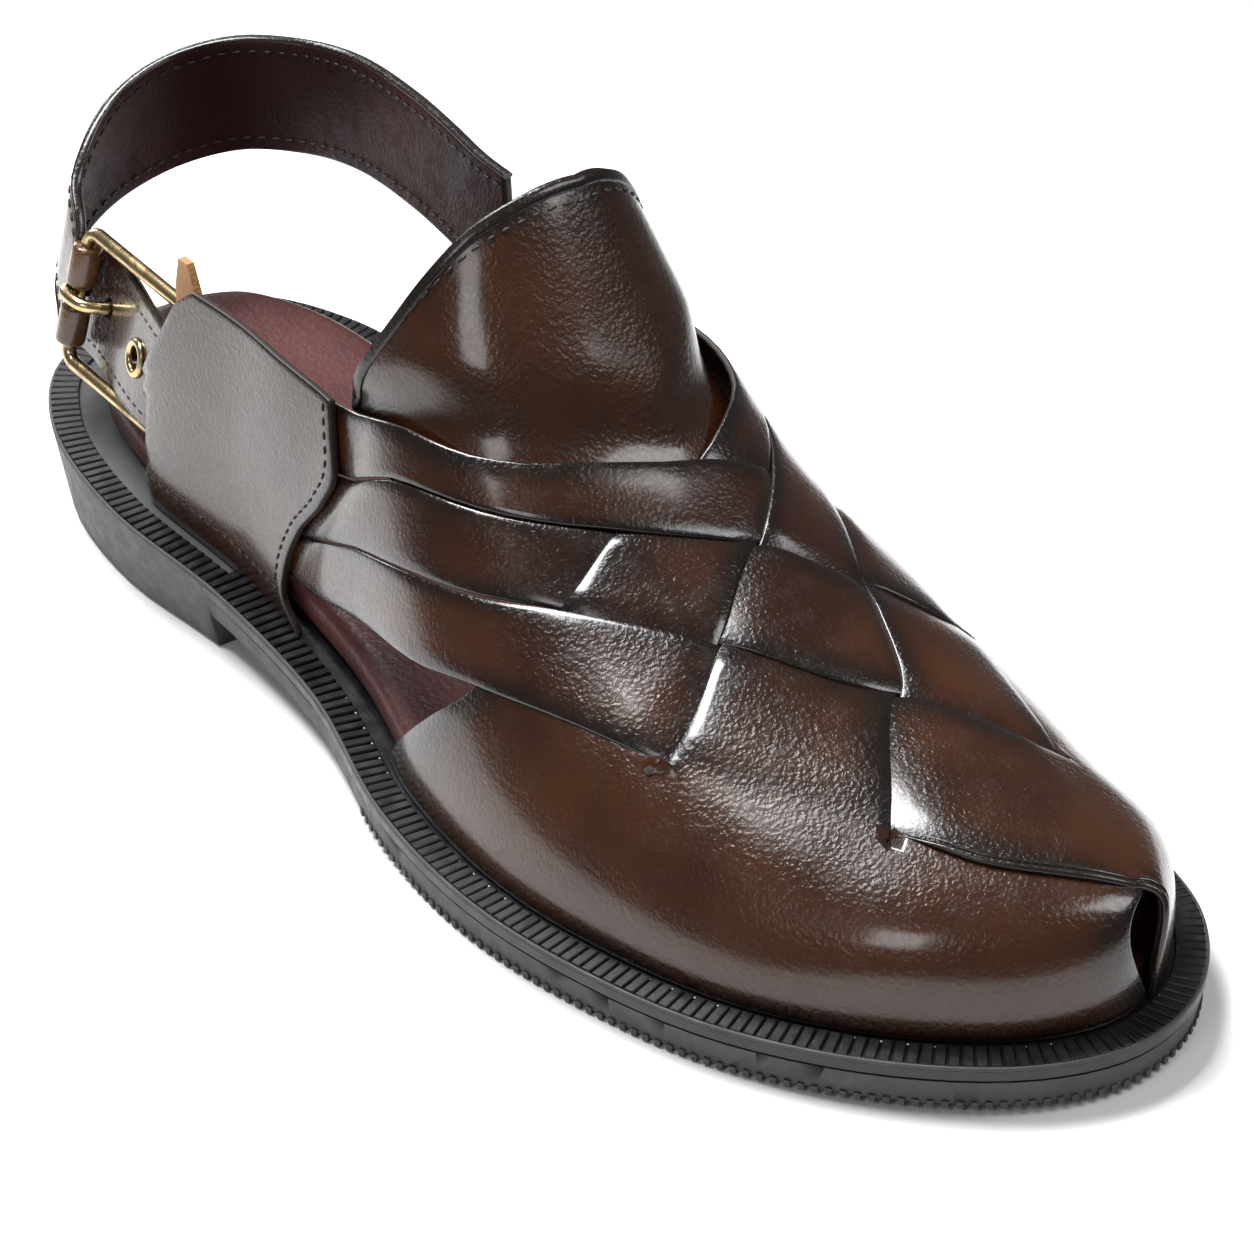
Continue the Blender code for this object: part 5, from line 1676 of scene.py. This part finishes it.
    def add_stitches(self) -> None:
        """The pale stitches on the welt, close to the upper."""
        wide = LAST.outline(40)
        loop = inset(wide, LAST.rim(wide[:, 0]) - 0.0011)
        ahead = np.roll(loop, -int(np.argmin(loop[:, 0])), 0)
        ahead = ahead[ahead[:, 0] > self.heel_length + 0.006]
        path = np.column_stack([ahead - LAST.middle, LAST.welt_top(ahead[:, 0]) + 0.0003])
        shape = bmesh.new()
        stitches(shape, path, np.broadcast_to(UP, path.shape), self.thread)
        Piece("welt_stitching", "welt_rubber", (self.finishes.pale_thread,), (), 80.0).finish(shape)


# The soft boxes: name, place, width and height, and watts.
SOFT_BOXES: tuple[tuple[str, Row, Row, float], ...] = (
    ("key_softbox", (-0.33, -0.10, 0.90), (0.62, 0.27), 17.0),
    ("rear_softbox", (-0.95, 0.08, 0.34), (0.50, 0.26), 4.0),
    ("front_softbox", (0.45, -0.85, 0.75), (0.35, 0.35), 2.0),
    ("toe_softbox", (0.50, 0.35, 0.85), (0.40, 0.40), 3.5),
)


@dataclass
class Studio:
    """The pale floor, the soft lights and the camera."""

    azimuth: float = 53.4
    elevation: float = 33.0
    distance: float = 0.7893
    lens: float = 124.47
    target: Row = (0.15143, 0.01286, 0.01857)
    anchor: Row = (0.145, 0.00425, 0.0)
    floor_size: float = 6.0
    # Reach and fade of the painted pool of light on the floor.
    painted_pool_reach: float = 0.25
    painted_pool_fade: float = 0.16
    aim: Row = (0.0, 0.0, 0.03)
    world: float = 0.16

    def build(self) -> None:
        """Builds the whole studio."""
        self.add_floor()
        self.add_lights()
        self.add_camera()

    def add_floor(self) -> None:
        """A wide floor with a painted pool of light: pale under the sandal, painted darker grey beyond it.
        """
        shape = bmesh.new()
        bmesh.ops.create_grid(shape, x_segments=2, y_segments=2, size=self.floor_size)
        mesh = bpy.data.meshes.new("studio_floor")
        shape.to_mesh(mesh)
        shape.free()
        graph = Graph("studio_paper")
        away = graph.add("ShaderNodeVectorMath", {"operation": "LENGTH"}, Vector=graph.place)
        # Painted pool of light: the floor's colour fades from pale to grey away from the sandal.
        far = graph.ramp(away.outputs["Value"], self.painted_pool_reach, self.painted_pool_reach + self.painted_pool_fade)
        near = graph.mix(graph.noise(3.0, 2.0), (0.86, 0.86, 0.86), (0.88, 0.88, 0.88))
        graph.use("Base Color", graph.mix(far, near, (0.34, 0.34, 0.34)))
        graph.use("Roughness", 0.9)
        graph.use("Specular IOR Level", 0.1)
        mesh.materials.append(graph.material)
        floor = bpy.data.objects.new("studio_floor", mesh)
        bpy.context.scene.collection.objects.link(floor)

    def add_light(self, name: str, place: Row, size: Row, power: float) -> None:
        """A soft rectangular light that faces the sandal.

        Args:
            name: The light's name.
            place: Where it stands.
            size: Its width and height.
            power: Its power in watts.
        """
        data = bpy.data.lights.new(name, "AREA")
        data.shape = "RECTANGLE"
        data.size, data.size_y = size
        data.energy = power
        light = bpy.data.objects.new(name, data)
        spot = Vector(place)
        turn = (spot - Vector(self.aim)).to_track_quat("Z", "Y").to_matrix().to_4x4()
        light.matrix_world = Matrix.Translation(spot) @ turn
        bpy.context.scene.collection.objects.link(light)

    def add_lights(self) -> None:
        """The four soft boxes and an even world."""
        for name, place, size, power in SOFT_BOXES:
            self.add_light(name, place, size, power)
        world = bpy.data.worlds.new("studio_air")
        world.use_nodes = True
        air = world.node_tree.nodes["Background"]
        air.inputs["Color"].default_value = (1.0, 1.0, 1.0, 1.0)
        air.inputs["Strength"].default_value = self.world
        bpy.context.scene.world = world
        bpy.context.scene.view_settings.view_transform = "Standard"

    def add_camera(self) -> None:
        """The camera at the photograph's angle."""
        turn, tilt = math.radians(self.azimuth), math.radians(self.elevation)
        back = Vector((math.sin(turn) * math.cos(tilt), -math.cos(turn) * math.cos(tilt), math.sin(tilt)))
        right = Vector((math.cos(turn), math.sin(turn), 0.0))
        up = back.cross(right)
        data = bpy.data.cameras.new("studio_camera")
        data.sensor_width = 36.0
        data.lens = self.lens
        camera = bpy.data.objects.new("studio_camera", data)
        place = Vector(self.target) + back * self.distance - Vector(self.anchor)
        camera.matrix_world = Matrix.Translation(place) @ Matrix([right, up, back]).transposed().to_4x4()
        bpy.context.scene.collection.objects.link(camera)
        bpy.context.scene.camera = camera


def dress_tip(finishes: Finishes) -> None:
    """Gives the pointed end of the billet its raw tan leather."""
    for slot in bpy.data.objects["strap_tip"].material_slots:
        slot.material = finishes.tan


def main() -> None:
    """Builds the sandal's looks, then the studio."""
    logging.basicConfig(level=logging.INFO, format="%(message)s")
    finishes = Finishes()
    buckle = BuckleFrame()
    Sole(finishes).build()
    WovenVamp(finishes).build()
    InstepShield(finishes).build()
    for side in Side:
        Quarter(finishes, side).build()
    HeelStrap(finishes, buckle).build()
    Billet(finishes, buckle).build()
    Buckle(finishes, buckle).build()
    dress_tip(finishes)
    Studio().build()


if __name__ == "__main__":
    main()
